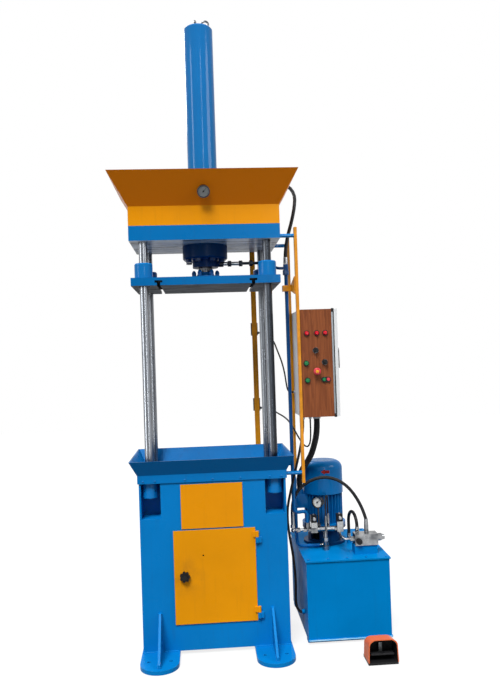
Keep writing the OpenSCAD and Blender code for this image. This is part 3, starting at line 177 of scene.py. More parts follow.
class Finish:
    def __init__(self, name):
        self.material = bpy.data.materials.new(name)
        self.material.use_nodes = True
        self.tree = self.material.node_tree
        self.shader = self.tree.nodes["Principled BSDF"]
        self.place = self.tree.nodes.new("ShaderNodeTexCoord").outputs["Object"]

    def wire(self, source, target):
        self.tree.links.new(source, target)

    def stretched(self, scale):
        node = self.tree.nodes.new("ShaderNodeMapping")
        node.inputs["Scale"].default_value = scale
        self.wire(self.place, node.inputs["Vector"])
        return node.outputs["Vector"]

    def noise(self, scale, detail=3.0, rough=0.55, place=None):
        node = self.tree.nodes.new("ShaderNodeTexNoise")
        node.inputs["Scale"].default_value = scale
        node.inputs["Detail"].default_value = detail
        node.inputs["Roughness"].default_value = rough
        self.wire(place or self.place, node.inputs["Vector"])
        return node.outputs["Fac"]

    def ramp(self, value, low, high, start=0.0, end=1.0):
        node = self.tree.nodes.new("ShaderNodeMapRange")
        node.inputs["From Min"].default_value = low
        node.inputs["From Max"].default_value = high
        node.inputs["To Min"].default_value = start
        node.inputs["To Max"].default_value = end
        self.wire(value, node.inputs["Value"])
        return node.outputs["Result"]

    def sums(self, kind, a, b):
        node = self.tree.nodes.new("ShaderNodeMath")
        node.operation = kind
        for socket, value in zip(node.inputs, (a, b)):
            if isinstance(value, (int, float)):
                socket.default_value = value
            else:
                self.wire(value, socket)
        return node.outputs["Value"]

    def mix(self, factor, a, b):
        node = self.tree.nodes.new("ShaderNodeMix")
        node.data_type = "RGBA"
        self.wire(factor, node.inputs["Factor"])
        for socket, value in ((node.inputs[6], a), (node.inputs[7], b)):
            if isinstance(value, tuple):
                socket.default_value = value
            else:
                self.wire(value, socket)
        return node.outputs[2]

    def axis(self, which):
        node = self.tree.nodes.new("ShaderNodeSeparateXYZ")
        self.wire(self.place, node.inputs["Vector"])
        return node.outputs[which]

    def edge(self, radius):
        # 1 near a sharp edge, 0 on the flats
        soft = self.tree.nodes.new("ShaderNodeBevel")
        soft.samples = 4
        soft.inputs["Radius"].default_value = radius
        true = self.tree.nodes.new("ShaderNodeNewGeometry")
        dot = self.tree.nodes.new("ShaderNodeVectorMath")
        dot.operation = "DOT_PRODUCT"
        self.wire(soft.outputs["Normal"], dot.inputs[0])
        self.wire(true.outputs["Normal"], dot.inputs[1])
        return self.ramp(dot.outputs["Value"], 0.99, 0.8)

    def facing(self):
        # upward share of the surface's own direction
        true = self.tree.nodes.new("ShaderNodeNewGeometry")
        node = self.tree.nodes.new("ShaderNodeSeparateXYZ")
        self.wire(true.outputs["Normal"], node.inputs["Vector"])
        return node.outputs["Z"]

    def distance(self, centre):
        # distance from a line along Y through the centre
        flat = self.stretched((1.0, 0.0, 1.0))
        node = self.tree.nodes.new("ShaderNodeVectorMath")
        node.operation = "DISTANCE"
        node.inputs[1].default_value = centre
        self.wire(flat, node.inputs[0])
        return node.outputs["Value"]

    def bump(self, height, strength, distance=0.001):
        node = self.tree.nodes.new("ShaderNodeBump")
        node.inputs["Strength"].default_value = strength
        node.inputs["Distance"].default_value = distance
        self.wire(height, node.inputs["Height"])
        self.wire(node.outputs["Normal"], self.shader.inputs["Normal"])

    def set(self, **values):
        for key, value in values.items():
            socket = self.shader.inputs[key.replace("_", " ")]
            if hasattr(value, "is_linked"):
                self.wire(value, socket)
            else:
                socket.default_value = value


# Materials
bareSteel = linear(126, 127, 127)
stainedSteel = linear(44, 45, 48)
galvanised = linear(88, 91, 94)
oldOil = linear(24, 30, 34)
eyeHigh = 0.0515  # lifting eyes above the cylinder's cap
tSlots = dict(middle=0.247, half=0.0205, top=1.9332, deep=0.0264, reach=0.2277)
paints = {
    # the light worn blue is worn paint and also a painted highlight on the edges
    "bluePaint": dict(colour=linear(3, 118, 190), wornAndEdgeLight=linear(92, 166, 212), dirt=0.14, scratch=0.05),
    "roundPaint": dict(colour=linear(4, 116, 188), wornAndEdgeLight=linear(70, 146, 200), dirt=0.10, scratch=0.05,
                       rough=0.26, coat=0.18, shine=0.03),
    "cylinderPaint": dict(colour=linear(4, 116, 188), wornAndEdgeLight=linear(70, 146, 200), dirt=0.08, scratch=0.04,
                          rough=0.26, coat=0.32, shine=0.02,
                          steelAbove=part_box("cylinder_barrel")[1][2] - eyeHigh),
    "platenPaint": dict(colour=linear(3, 104, 170), wornAndEdgeLight=linear(40, 96, 140), dirt=0.18, scratch=0.08,
                        below=bareSteel, belowRough=0.85, slots=tSlots),
    "crownPaint": dict(colour=linear(3, 110, 178), wornAndEdgeLight=linear(40, 96, 140), dirt=0.12, scratch=0.06,
                       below=linear(182, 186, 190), belowRough=0.30),
    # the tray and the yellow paint get a darker colour on faces that point down, as painted shade
    "trayPaint": dict(colour=linear(3, 112, 182), wornAndEdgeLight=linear(24, 92, 146), dirt=0.22, scratch=0.10, oil=0.75,
                      downFacingShade=linear(2, 92, 154)),
    "tankPaint": dict(colour=linear(0, 120, 188), wornAndEdgeLight=linear(70, 146, 200), dirt=0.10, scratch=0.04,
                      rough=0.40, shine=0.01, coat=0.0),
    # dark blue as painted shade on the flange, gland head and bell housing, which sit in shadow
    "paintedShadeBlue": dict(colour=linear(10, 58, 104), wornAndEdgeLight=linear(60, 80, 100), dirt=0.20, scratch=0.12),
    "yellowPaint": dict(colour=linear(226, 145, 8), wornAndEdgeLight=linear(196, 128, 30), dirt=0.12, scratch=0.10,
                        downFacingShade=linear(222, 124, 10)),
    "doorPaint": dict(colour=linear(224, 146, 8), wornAndEdgeLight=linear(190, 122, 26), dirt=0.12, scratch=0.12,
                      smudge=(-0.158, 0.395, 0.15)),
    "greyPaint": dict(colour=linear(222, 225, 227), wornAndEdgeLight=linear(156, 160, 164), dirt=0.12, scratch=0.06,
                      rough=0.42),
    "orangePaint": dict(colour=linear(222, 108, 62), wornAndEdgeLight=linear(190, 120, 90), dirt=0.16, scratch=0.10,
                        rough=0.40),
}


wear = {
    "blotch": 2.6, "shade": 0.86, "grime": 0.45, "grimeGrey": 0.012, "chipEdge": 0.0025, "chipsAndEdgeLight": 0.55,
    "streaks": (9.0, 9.0, 0.7), "scratches": (1.0, 1.0, 7.0), "stains": (3.0, 16.0, 1.0),
    "rubbed": 0.03, "peel": 0.0012, "coatRough": 0.07,
}


def darker(colour, share, grey=0.0):
    return tuple(c * share + grey for c in colour[:3]) + (1.0,)


def paint(name, colour, wornAndEdgeLight, dirt, scratch, rough=0.31, shine=0.05, coat=0.01, below=None, belowRough=0.5,
          slots=None, downFacingShade=None, oil=0.0, smudge=None, steelAbove=None):
    f = Finish(name)
    blotch = f.ramp(f.noise(wear["blotch"], 5), 0.30, 0.70)
    base = f.mix(blotch, darker(colour, wear["shade"]), colour)
    streaks = f.noise(5.0, 6, 0.62, f.stretched(wear["streaks"]))
    grime = darker(colour, wear["grime"], wear["grimeGrey"])
    base = f.mix(f.ramp(streaks, 0.56, 0.80, 0.0, dirt * 2), base, grime)
    fine = f.noise(34.0, 4, 0.7, f.stretched(wear["scratches"]))
    base = f.mix(f.ramp(fine, 0.68, 0.74, 0.0, scratch * 2), base, wornAndEdgeLight)
    # colour at sharp edges: worn paint, and where that colour is light, also a painted highlight
    chipsAndEdgeLight = f.sums("MULTIPLY", f.edge(wear["chipEdge"]), f.ramp(f.noise(46.0, 5), 0.46, 0.60))
    base = f.mix(f.ramp(chipsAndEdgeLight, 0.25, 0.8, 0.0, wear["chipsAndEdgeLight"]), base, wornAndEdgeLight)
    if downFacingShade:  # painted shade: darker colour where it faces down
        base = f.mix(f.ramp(f.facing(), -0.2, -0.5), base, downFacingShade)
    if below:  # bare machined underside, stained along the plate
        stain = f.ramp(f.noise(2.0, 6, 0.65, f.stretched(wear["stains"])), 0.46, 0.62, 0.0, 0.8)
        base = f.mix(f.ramp(f.facing(), -0.6, -0.9), base, f.mix(stain, below, stainedSteel))
    if slots:  # dark inside of the slots along the plate
        x, y, z = (f.axis(which) for which in "XYZ")
        off = f.sums("ABSOLUTE", f.sums("SUBTRACT", f.sums("ABSOLUTE", x, 0.0), slots["middle"]), 0.0)
        inside = f.sums("LESS_THAN", off, slots["half"])
        for limit in (f.sums("LESS_THAN", z, slots["top"]),
                      f.sums("GREATER_THAN", z, slots["top"] - slots["deep"]),
                      f.sums("LESS_THAN", f.sums("ABSOLUTE", y, 0.0), slots["reach"])):
            inside = f.sums("MULTIPLY", inside, limit)
        base = f.mix(inside, base, oldOil)
    if oil:  # oily film on what faces up
        pools = f.ramp(f.noise(5.0, 6), 0.30, 0.62, 0.0, oil)
        base = f.mix(f.sums("MULTIPLY", f.ramp(f.facing(), 0.6, 0.9), pools), base, oldOil)
    if smudge:  # handled place: x, z and reach in metres
        near = f.ramp(f.distance((smudge[0], 0, smudge[1])), smudge[2], wear["rubbed"])
        rubbed = f.sums("MULTIPLY", near, f.ramp(f.noise(16.0, 6, 0.7), 0.42, 0.70, 0.0, 0.45))
        base = f.mix(rubbed, base, grime)
    metallic = 0.0
    if steelAbove:  # plain steel above this height
        metallic = f.sums("GREATER_THAN", f.axis("Z"), steelAbove)
        base = f.mix(metallic, base, galvanised)
    gloss = f.ramp(f.noise(9.0, 5), 0.3, 0.7, rough - 0.07, rough + 0.10)
    if below:
        gloss = f.sums("MAXIMUM", gloss, f.ramp(f.facing(), -0.6, -0.9, 0.0, belowRough))
    f.set(Base_Color=base, Roughness=gloss, Metallic=metallic, Specular_IOR_Level=shine, Coat_Weight=coat,
          Coat_Roughness=wear["coatRough"])
    f.bump(f.sums("ADD", f.noise(210.0, 2), f.sums("MULTIPLY", f.noise(7.0, 2), 5.0)), 0.10, wear["peel"])
    return f.material


finishes = {name: paint(name, **values) for name, values in paints.items()}

rodFlangeTop = 0.0462  # above the platen
alongBar = (70.0, 70.0, 0.4)
metals = {
    # the upright dark and light streaks on the chrome are painted reflections
    "hardChrome": dict(colour=linear(140, 144, 150), dark=linear(52, 56, 62), rough=0.25,
                       lines=(70.0, 70.0, 0.1), spread=(0.36, 0.64), detail=0.6, pits=alongBar,
                       paintBelow=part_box("bed_plate")[0][2]),
    # the rod's darker chrome is painted shade, and its upright streaks are painted reflections
    "shadedRodChrome": dict(colour=linear(92, 94, 97), dark=linear(26, 27, 30), rough=0.14,
                      lines=(60.0, 60.0, 0.1), spread=(0.40, 0.60), detail=1.5, pits=alongBar,
                      paintBelow=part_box("moving_platen")[1][2] + rodFlangeTop),
    "zincSteel": dict(colour=linear(158, 160, 162), dark=linear(86, 88, 92), rough=0.25,
                      lines=(16.0, 16.0, 16.0), detail=2.0),
    "boltSteel": dict(colour=linear(168, 170, 172), dark=linear(104, 106, 110), rough=0.33,
                      lines=(50.0, 50.0, 50.0)),
    "gaugeSteel": dict(colour=linear(74, 76, 80), dark=linear(38, 40, 43), rough=0.24,
                       lines=(60.0, 60.0, 60.0)),
    "castHousing": dict(colour=linear(110, 112, 114), dark=linear(70, 72, 74), rough=0.55,
                        lines=(90.0, 90.0, 90.0)),
}


def metal(name, colour, dark, rough, lines, spread=(0.35, 0.75), detail=6.0, paintBelow=None,
          pits=(90.0, 90.0, 90.0)):
    f = Finish(name)
    # upright streaks: grain on the plain metals, painted reflections on the chrome
    grain = f.noise(1.0, detail, 0.65, f.stretched(lines))
    cloud = f.noise(4.0, 4)
    base = f.mix(f.ramp(grain, *spread), colour, dark)
    base = f.mix(f.ramp(cloud, 0.58, 0.80, 0.0, 0.5), base, dark)
    gloss = f.ramp(cloud, 0.3, 0.7, rough - 0.04, rough + 0.10)
    metallic = 1.0
    if paintBelow:  # blue paint up to this height
        metallic = f.sums("GREATER_THAN", f.axis("Z"), paintBelow)
        base = f.mix(metallic, paints["roundPaint"]["colour"], base)
        gloss = f.sums("MAXIMUM", gloss, f.ramp(metallic, 0, 1, 0.32, 0.0))
    f.set(Base_Color=base, Metallic=metallic, Roughness=gloss, Specular_IOR_Level=0.2)
    f.bump(f.noise(1.0, 3, place=f.stretched(pits)), 0.03, 0.0004)
    return f.material


finishes.update({name: metal(name, **values) for name, values in metals.items()})

mouldings = {
    "blackPlastic": dict(colour=linear(24, 24, 26), pale=linear(52, 52, 54), rough=0.46, coat=0.0),
    "needleBlack": dict(colour=linear(18, 18, 20), pale=linear(30, 30, 32), rough=0.40, coat=0.0),
    "greenPlastic": dict(colour=linear(6, 108, 56), pale=linear(20, 128, 74), rough=0.34, coat=0.05),
    "redPlastic": dict(colour=linear(200, 48, 62), pale=linear(214, 84, 92), rough=0.34, coat=0.05),
    "redLens": dict(colour=linear(200, 16, 38), pale=linear(214, 44, 60), rough=0.28, coat=0.1),
    "hoseRubber": dict(colour=linear(22, 22, 24), pale=linear(46, 47, 50), rough=0.44, coat=0.0),
    "cableRubber": dict(colour=linear(20, 20, 22), pale=linear(40, 40, 43), rough=0.50, coat=0.0),
    "conduitPlastic": dict(colour=linear(26, 26, 28), pale=linear(54, 55, 58), rough=0.42, coat=0.0),
    "gasketRubber": dict(colour=linear(22, 22, 23), pale=linear(40, 40, 42), rough=0.62, coat=0.0),
    "arrowRed": dict(colour=linear(200, 38, 34), pale=linear(214, 80, 66), rough=0.40, coat=0.1),
    "dialWhite": dict(colour=linear(226, 226, 220), pale=linear(206, 206, 198), rough=0.45, coat=0.0),
    "dialReflectionGrey": dict(colour=linear(146, 150, 152), pale=linear(122, 126, 128), rough=0.45, coat=0.0),
    "profileGrey": dict(colour=linear(146, 154, 160), pale=linear(168, 175, 180), rough=0.40, coat=0.0),
    "edgeHighlightBlue": dict(colour=linear(132, 192, 232), pale=linear(186, 218, 238), rough=0.42, coat=0.0),
    "stopYellow": dict(colour=linear(222, 156, 40), pale=linear(232, 176, 74), rough=0.36, coat=0.1),
}


def moulding(name, colour, pale, rough, coat):
    f = Finish(name)
    rub = f.ramp(f.noise(14.0, 5), 0.50, 0.78)
    base = f.mix(rub, colour, pale)
    f.set(Base_Color=base, Roughness=f.ramp(f.noise(40.0, 4), 0.3, 0.7, rough - 0.06, rough + 0.08),
          Specular_IOR_Level=0.16, Coat_Weight=coat, Coat_Roughness=0.1)
    f.bump(f.noise(600.0, 2), 0.12, 0.0004)
    return f.material


finishes.update({name: moulding(name, **values) for name, values in mouldings.items()})

laminate = {
    "pale": linear(138, 78, 45), "mid": linear(119, 65, 38), "dark": linear(86, 47, 29),
    "grain": (46.0, 46.0, 2.4), "rings": (9.0, 9.0, 0.55), "rough": 0.36,
}


def woodLaminate():
    f = Finish("woodLaminate")
    rings = f.noise(1.6, 4, 0.6, f.stretched(laminate["rings"]))
    bands = f.sums("FRACT", f.sums("MULTIPLY", rings, 9.0), 0.0)
    base = f.mix(f.ramp(bands, 0.1, 0.9), laminate["mid"], laminate["pale"])
    pores = f.noise(1.5, 6, 0.7, f.stretched(laminate["grain"]))
    base = f.mix(f.ramp(pores, 0.50, 0.70, 0.0, 0.55), base, laminate["dark"])
    f.set(Base_Color=base, Roughness=f.ramp(pores, 0.3, 0.7, laminate["rough"], laminate["rough"] + 0.12),
          Specular_IOR_Level=0.06, Coat_Weight=0.01, Coat_Roughness=0.2)
    f.bump(pores, 0.12, 0.0005)
    return f.material


finishes["woodLaminate"] = woodLaminate()


def twoTone(name, first, second, which, step):
    # one node of two finishes, parted at a coordinate
    f = Finish(name)
    side = f.sums("GREATER_THAN", f.axis(which), step)
    cloud = f.noise(20.0, 5)
    colours = []
    for part in (first, second):
        colours.append(f.mix(f.ramp(cloud, 0.40, 0.72), part["colour"], darker(part["colour"], 0.72)))
    rough = f.ramp(side, 0, 1, first["rough"], second["rough"])
    rough = f.sums("ADD", rough, f.ramp(cloud, 0.3, 0.7, -0.05, 0.06))
    f.set(Base_Color=f.mix(side, *colours), Roughness=rough, Specular_IOR_Level=0.15,
          Metallic=f.ramp(side, 0, 1, first["metal"], second["metal"]))
    f.bump(f.noise(160.0, 3), 0.10, 0.0008)
    return f.material


tones = {
    "bright": dict(colour=linear(172, 174, 176), rough=0.22, metal=1.0),
    "dullBlack": dict(colour=linear(24, 24, 26), rough=0.45, metal=0.0),
    "postYellow": dict(colour=linear(218, 142, 20), rough=0.34, metal=0.0),
    "switchGrey": dict(colour=linear(70, 74, 78), rough=0.45, metal=0.0),
    "lowBlue": dict(colour=linear(3, 112, 182), rough=0.32, metal=0.0),
    # dark blue of the screws above the platen is painted shade
    "highShadeBlue": dict(colour=linear(9, 52, 96), rough=0.32, metal=0.0),
    "plateZinc": dict(colour=linear(186, 188, 188), rough=0.40, metal=0.0),
    "blockGrey": dict(colour=linear(58, 62, 66), rough=0.45, metal=0.0),
}
partings = {  # finish: the two tones, the axis and the place where they meet
    "screwFinish": ("lowBlue", "highShadeBlue", "Z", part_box("moving_platen")[1][2]),
    "gearFinish": ("plateZinc", "blockGrey", "X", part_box("switchgear_plate")[0][0] + 0.0062),
    "valveFinish": ("bright", "dullBlack", "Z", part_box("solenoid_valves")[0][2] + 0.028),
    "latchFinish": ("dullBlack", "bright", "Y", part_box("cabinet_door")[1][1] - 0.006),
    "postFinish": ("postYellow", "switchGrey", "Y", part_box("support_posts")[1][1] - 0.0301),
}
for name, (first, second, which, step) in partings.items():
    finishes[name] = twoTone(name, tones[first], tones[second], which, step)

# Rigid pipes: blue by the tank and dark above as painted shade, darker nuts at the gland, bright elbow on the
# tank's lid
pipes = {
    "colour": linear(6, 70, 128), "low": linear(4, 106, 176), "nut": linear(24, 38, 52),
    "gland": (0.06, 0.30), "elbow": 0.592, "shadeRise": (0.86, 0.98), "shade": 0.7,
}


def pipeFinish():
    f = Finish("pipePaint")
    x = f.axis("X")
    first, last = pipes["gland"]
    near = f.sums("MULTIPLY", f.sums("GREATER_THAN", x, first), f.sums("LESS_THAN", x, last))
    steel = f.sums("GREATER_THAN", x, pipes["elbow"])
    cloud = f.noise(14.0, 5)
    base = f.mix(f.ramp(cloud, 0.40, 0.70), pipes["colour"], darker(pipes["colour"], pipes["shade"]))
    # painted shade: the pipes turn from their own blue to dark navy higher up
    base = f.mix(f.ramp(f.axis("Z"), *pipes["shadeRise"]), pipes["low"], base)
    base = f.mix(steel, f.mix(near, base, pipes["nut"]), metals["zincSteel"]["colour"])
    f.set(Base_Color=base, Metallic=steel, Roughness=f.ramp(cloud, 0.3, 0.7, 0.20, 0.34),
          Specular_IOR_Level=0.1, Coat_Weight=0.08, Coat_Roughness=0.08)
    f.bump(f.noise(160.0, 3), 0.10, 0.0008)
    return f.material


finishes["pipePaint"] = pipeFinish()
print("materials made:", len(finishes))

dressing = {
    "bluePaint": ["base_cabinet", "anchor_feet"],
    "screwFinish": ["frame_screws"],
    "roundPaint": ["column_nuts", "guide_bushings", "standoff_bars", "motor_body", "motor_cowl"],
    "cylinderPaint": ["cylinder_barrel"],
    "pipePaint": ["oil_pipes"],
    "platenPaint": ["moving_platen"],
    "crownPaint": ["crown_plate"],
    "trayPaint": ["bed_plate", "oil_tray"],
    "tankPaint": ["oil_tank", "tank_lid"],
    "paintedShadeBlue": ["cylinder_flange", "gland_head", "bell_housing"],
    "yellowPaint": ["cover_plate", "crown_collar"],
    "doorPaint": ["cabinet_door"],
    "postFinish": ["support_posts"],
    "greyPaint": ["box_shell", "box_door"],
    "gearFinish": ["switchgear_plate"],
    "orangePaint": ["pedal_hood"],
    "hardChrome": ["columns"],
    "shadedRodChrome": ["piston_rod"],
    "zincSteel": ["valve_manifold", "relief_block"],
    "boltSteel": ["motor_rotor"],
    "gaugeSteel": ["gauge_cases"],
    "castHousing": ["pump"],
    "valveFinish": ["solenoid_valves"],
    "latchFinish": ["latch_knob"],
    "woodLaminate": ["box_front_panel"],
    "blackPlastic": ["box_handle", "button_collars", "selector_upper", "selector_lower", "relief_knob",
                     "pedal_base", "pedal_treadle"],
    "needleBlack": ["top_gauge_needle", "pack_gauge_needle"],
    "greenPlastic": ["start_button", "return_button", "twin_start"],
    "redPlastic": ["emergency_stop", "twin_stop"],
    "redLens": ["pilot_lamps"],
}
for finish, names in dressing.items():
    for name in names:
        for holder in nodes[name].material_slots:
            holder.material = finishes[finish]
print("nodes dressed")


# Hoses and cables, along the routes of the part in metres
def arch(start, end, top):
    # straight up, round in a half circle and straight down
    a, b = Vector(start), Vector(end)
    middle = (a + b) / 2
    reach = (b - a) / 2
    reach.z = 0
    rise = top - reach.length
    bow = []
    for t in (math.radians(15 * k) for k in range(13)):
        lift = rise + math.sin(t) * reach.length - middle.z
        bow.append(middle - math.cos(t) * reach + Vector((0, 0, lift)))
    legs = [a, (a + bow[0]) / 2], [(b + bow[-1]) / 2, b]
    return [tuple(p) for p in legs[0] + bow + legs[1]]


cords = {
    "arch_hose": dict(
        diameter=0.018, stiffness="medium", finish="hoseRubber", slot="hose_rubber",
        route=[(0.440, 0, 0.646), (0.440, 0, 0.690), (0.454, -0.004, 0.738), (0.487, -0.009, 0.785),
               (0.538, -0.016, 0.821), (0.598, -0.026, 0.840), (0.658, -0.036, 0.836), (0.712, -0.046, 0.812),
               (0.756, -0.054, 0.772), (0.790, -0.060, 0.722), (0.814, -0.066, 0.672), (0.828, -0.070, 0.630),
               (0.834, -0.072, 0.604), (0.834, -0.072, 0.578)]),
    "gauge_hose": dict(
        diameter=0.008, stiffness="limp", finish="hoseRubber", slot="hose_rubber",
        route=arch((0.622, -0.012, 0.606), (0.645, 0.046, 0.606), 0.730)),
    "return_hose": dict(
        diameter=0.018, stiffness="medium", finish="hoseRubber", slot="hose_rubber",
        route=arch((0.776, 0.118, 0.464), (0.794, -0.020, 0.534), 0.626)),
    "cylinder_hose": dict(
        diameter=0.020, stiffness="medium", finish="hoseRubber", slot="hose_rubber",
        route=[(0.442, -0.040, 2.024), (0.442, -0.040, 2.066), (0.449, -0.032, 2.128), (0.466, -0.008, 2.196),
               (0.488, 0.024, 2.262), (0.508, 0.062, 2.328), (0.524, 0.108, 2.392), (0.532, 0.160, 2.452),
               (0.518, 0.212, 2.508), (0.472, 0.246, 2.552), (0.405, 0.256, 2.580), (0.335, 0.248, 2.594),
               (0.265, 0.226, 2.600), (0.200, 0.194, 2.596), (0.140, 0.156, 2.584), (0.096, 0.130, 2.574),
               (0.074, 0.126, 2.572), (0.046, 0.126, 2.572)]),
    "control_conduit": dict(
        diameter=0.034, stiffness="medium", finish="conduitPlastic", slot="conduit_plastic",
        route=[(0.581, -0.070, 1.172), (0.581, -0.070, 1.146), (0.580, -0.062, 1.106), (0.577, -0.044, 1.066),
               (0.571, -0.012, 1.020), (0.562, 0.032, 0.968), (0.546, 0.078, 0.920), (0.522, 0.114, 0.874),
               (0.508, 0.142, 0.832), (0.505, 0.160, 0.796), (0.507, 0.168, 0.768), (0.507, 0.168, 0.746)]),
    "limit_cable_upper": dict(
        diameter=0.009, stiffness="limp", finish="cableRubber", slot="cable_rubber",
        route=[(0.310, 0.301, 1.665), (0.336, 0.301, 1.665), (0.366, 0.290, 1.648), (0.392, 0.256, 1.608),
               (0.408, 0.210, 1.552), (0.424, 0.160, 1.490), (0.434, 0.124, 1.430), (0.438, 0.094, 1.376),
               (0.442, 0.074, 1.336), (0.451, 0.066, 1.317), (0.464, 0.066, 1.314), (0.478, 0.066, 1.314)]),
    "limit_cable_lower": dict(
        diameter=0.009, stiffness="limp", finish="cableRubber", slot="cable_rubber",
        route=[(0.310, 0.301, 1.215), (0.336, 0.301, 1.215), (0.366, 0.288, 1.204), (0.392, 0.256, 1.190),
               (0.408, 0.210, 1.180), (0.422, 0.160, 1.172), (0.440, 0.104, 1.156), (0.458, 0.050, 1.128),
               (0.474, 0, 1.090), (0.492, -0.046, 1.050), (0.512, -0.074, 1.024), (0.530, -0.082, 1.026),
               (0.541, -0.078, 1.056), (0.545, -0.070, 1.106), (0.545, -0.070, 1.172)]),
    "level_cable": dict(
        diameter=0.014, stiffness="limp", finish="cableRubber", slot="cable_rubber",
        route=[(0.500, -0.100, 1.172), (0.500, -0.100, 1.136), (0.494, -0.098, 1.080), (0.480, -0.092, 1.010),
               (0.462, -0.080, 0.930), (0.444, -0.068, 0.855), (0.424, -0.062, 0.775), (0.406, -0.060, 0.690),
               (0.404, -0.060, 0.610), (0.412, -0.060, 0.530), (0.424, -0.060, 0.450), (0.432, -0.060, 0.370),
               (0.436, -0.059, 0.290), (0.434, -0.058, 0.220), (0.434, -0.058, 0.176), (0.440, -0.058, 0.144),
               (0.452, -0.058, 0.126), (0.458, -0.058, 0.122), (0.466, -0.058, 0.122)]),
}
conduitRibs = {"pitch": 0.0042, "depth": 0.0016, "sides": 20}


def smoothRoute(route, steps):
    # the route's points, with steps points in each span on a smooth curve
    points = [Vector(p) for p in route]
    ends = [points[0] * 2 - points[1]] + points + [points[-1] * 2 - points[-2]]
    out = []
    for a, b, c, d in zip(ends, ends[1:], ends[2:], ends[3:]):
        for k in range(steps):
            t = k / steps
            out.append(0.5 * (2 * b + (c - a) * t + (2 * a - 5 * b + 4 * c - d) * t ** 2
                              + (3 * b - a - 3 * c + d) * t ** 3))
    return out + [points[-1]]


def routeLength(points):
    return sum((b - a).length for a, b in zip(points, points[1:]))


def curveCord(name, data, points):
    curve = bpy.data.curves.new(name + "_cord", "CURVE")
    curve.dimensions = "3D"
    curve.bevel_depth = data["diameter"] / 2
    curve.bevel_resolution = 5
    curve.use_fill_caps = True
    spline = curve.splines.new("POLY")
    spline.points.add(len(points) - 1)
    for target, p in zip(spline.points, points):
        target.co = (*p, 1)
    spline.use_smooth = True
    obj = bpy.data.objects.new(name + "_cord", curve)
    scene.collection.objects.link(obj)
    curve.materials.append(finishes[data["finish"]])
    return obj


def ribbedCord(name, data, points):
    # corrugated sleeve: short rings, wide and narrow in turn
    length = routeLength(points)
    count = int(length / conduitRibs["pitch"]) * 4
    marks = [0.0]
    for a, b in zip(points, points[1:]):
        marks.append(marks[-1] + (b - a).length)
    fine = []
    span = 0
    for k in range(count + 1):
        at = length * k / count
        while span < len(points) - 2 and marks[span + 1] < at:
            span += 1
        fine.append(points[span].lerp(points[span + 1], (at - marks[span]) / (marks[span + 1] - marks[span])))
    bm = bmesh.new()
    wide = data["diameter"] / 2
    sweep(bm, fine, lambda i: wide - conduitRibs["depth"] * (i % 4 in (2, 3)), conduitRibs["sides"])
    mesh = smoothMesh(name + "_cord", bm)
    obj = bpy.data.objects.new(name + "_cord", mesh)
    scene.collection.objects.link(obj)
    mesh.materials.append(finishes[data["finish"]])
    return obj


for name, data in cords.items():
    steps = 2 if len(data["route"]) > 13 else 3
    points = smoothRoute(data["route"], steps)
    ribbed = name == "control_conduit"
    obj = (ribbedCord if ribbed else curveCord)(name, data, points)
    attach(obj, "machine")
    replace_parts(obj, name)
print("cords laid:", len(cords))

# Crimped ferrules at the ends of the hoses
ferrules = {
    "long": {"arch_hose": 0.034, "cylinder_hose": 0.040, "return_hose": 0.026, "gauge_hose": 0.018},
    "over": 0.0024, "groove": 0.001, "lip": 0.0018,
}


def hoseFerrules():
    bm = bmesh.new()
    for name, data in cords.items():
        if name not in ferrules["long"]:
            continue
        long, r = ferrules["long"][name], data["diameter"] / 2 + ferrules["over"]
        thin, lip = r - ferrules["groove"], r - ferrules["lip"]
        profile = [(0, r), (long * 0.45, r), (long * 0.5, thin), (long * 0.92, thin), (long, lip)]
        route = data["route"]
        for end, towards in ((route[0], route[1]), (route[-1], route[-2])):
            addRound(bm, end, Vector(towards) - Vector(end), profile, 24)
    fromBmesh("hose_ferrules", bm, "machine", finishes["zincSteel"])


hoseFerrules()

# Bright sleeves on the gland's pipe, domed nuts on the rod's flange
glandPipe = {"spans": ((0.1006, 0.1232), (0.1446, 0.1852)), "radius": 0.0104, "chamfer": 0.001, "up": 0.021}
rodNuts = {"count": 6, "circle": 0.064, "low": 0.0375, "radius": 0.0125, "high": 0.021}


def ramTrim():
    bm = bmesh.new()
    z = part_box("gland_head")[0][2] + glandPipe["up"]
    r, c = glandPipe["radius"], glandPipe["chamfer"]
    for a, b in glandPipe["spans"]:
        addRound(bm, (a, 0, z), (1, 0, 0), [(0, r - c), (c, r), (b - a - c, r), (b - a, r - c)], 24)
    fromBmesh("gland_sleeves", bm, "machine", finishes["zincSteel"])
    bm = bmesh.new()
    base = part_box("moving_platen")[1][2] + rodNuts["low"]
    dome = [(rodNuts["high"] * math.sin(t), rodNuts["radius"] * math.cos(t))
            for t in (math.radians(9 * k) for k in range(10))]
    for k in range(rodNuts["count"]):
        turn = 2 * math.pi * k / rodNuts["count"]
        at = (rodNuts["circle"] * math.cos(turn), rodNuts["circle"] * math.sin(turn), base)
        addRound(bm, at, (0, 0, 1), dome, 20)
    fromBmesh("rod_nuts", bm, "ram", finishes["roundPaint"])


ramTrim()

# Dials of the two pressure gauges
dials = {
    # the top dial's grey is a painted reflection; the pack dial keeps its white
    "top_gauge_turn": dict(radius=0.0275, floor=0.0222, glass=0.0285, finish="dialReflectionGrey"),
    "pack_gauge_turn": dict(radius=0.0275, floor=0.0072, glass=0.0135, finish="dialWhite"),
}
dialMarks = {
    "count": 26, "sweep": 270.0, "long": 0.006, "short": 0.0035,
    "wide": 0.0009, "rise": 0.0003, "inset": 0.002,
}
dialPlate = 0.0002  # half the thickness
glassShape = [(-0.0004, 0.0277), (0.0002, 0.0277), (0.0008, 0.022)]


def glassFinish():
    f = Finish("gaugeGlass")
    f.set(Base_Color=(1, 1, 1, 1), Roughness=f.ramp(f.noise(30.0, 3), 0.3, 0.7, 0.02, 0.06),
          Transmission_Weight=1.0, IOR=1.12, Alpha=0.12)
    return f.material


finishes["gaugeGlass"] = glassFinish()


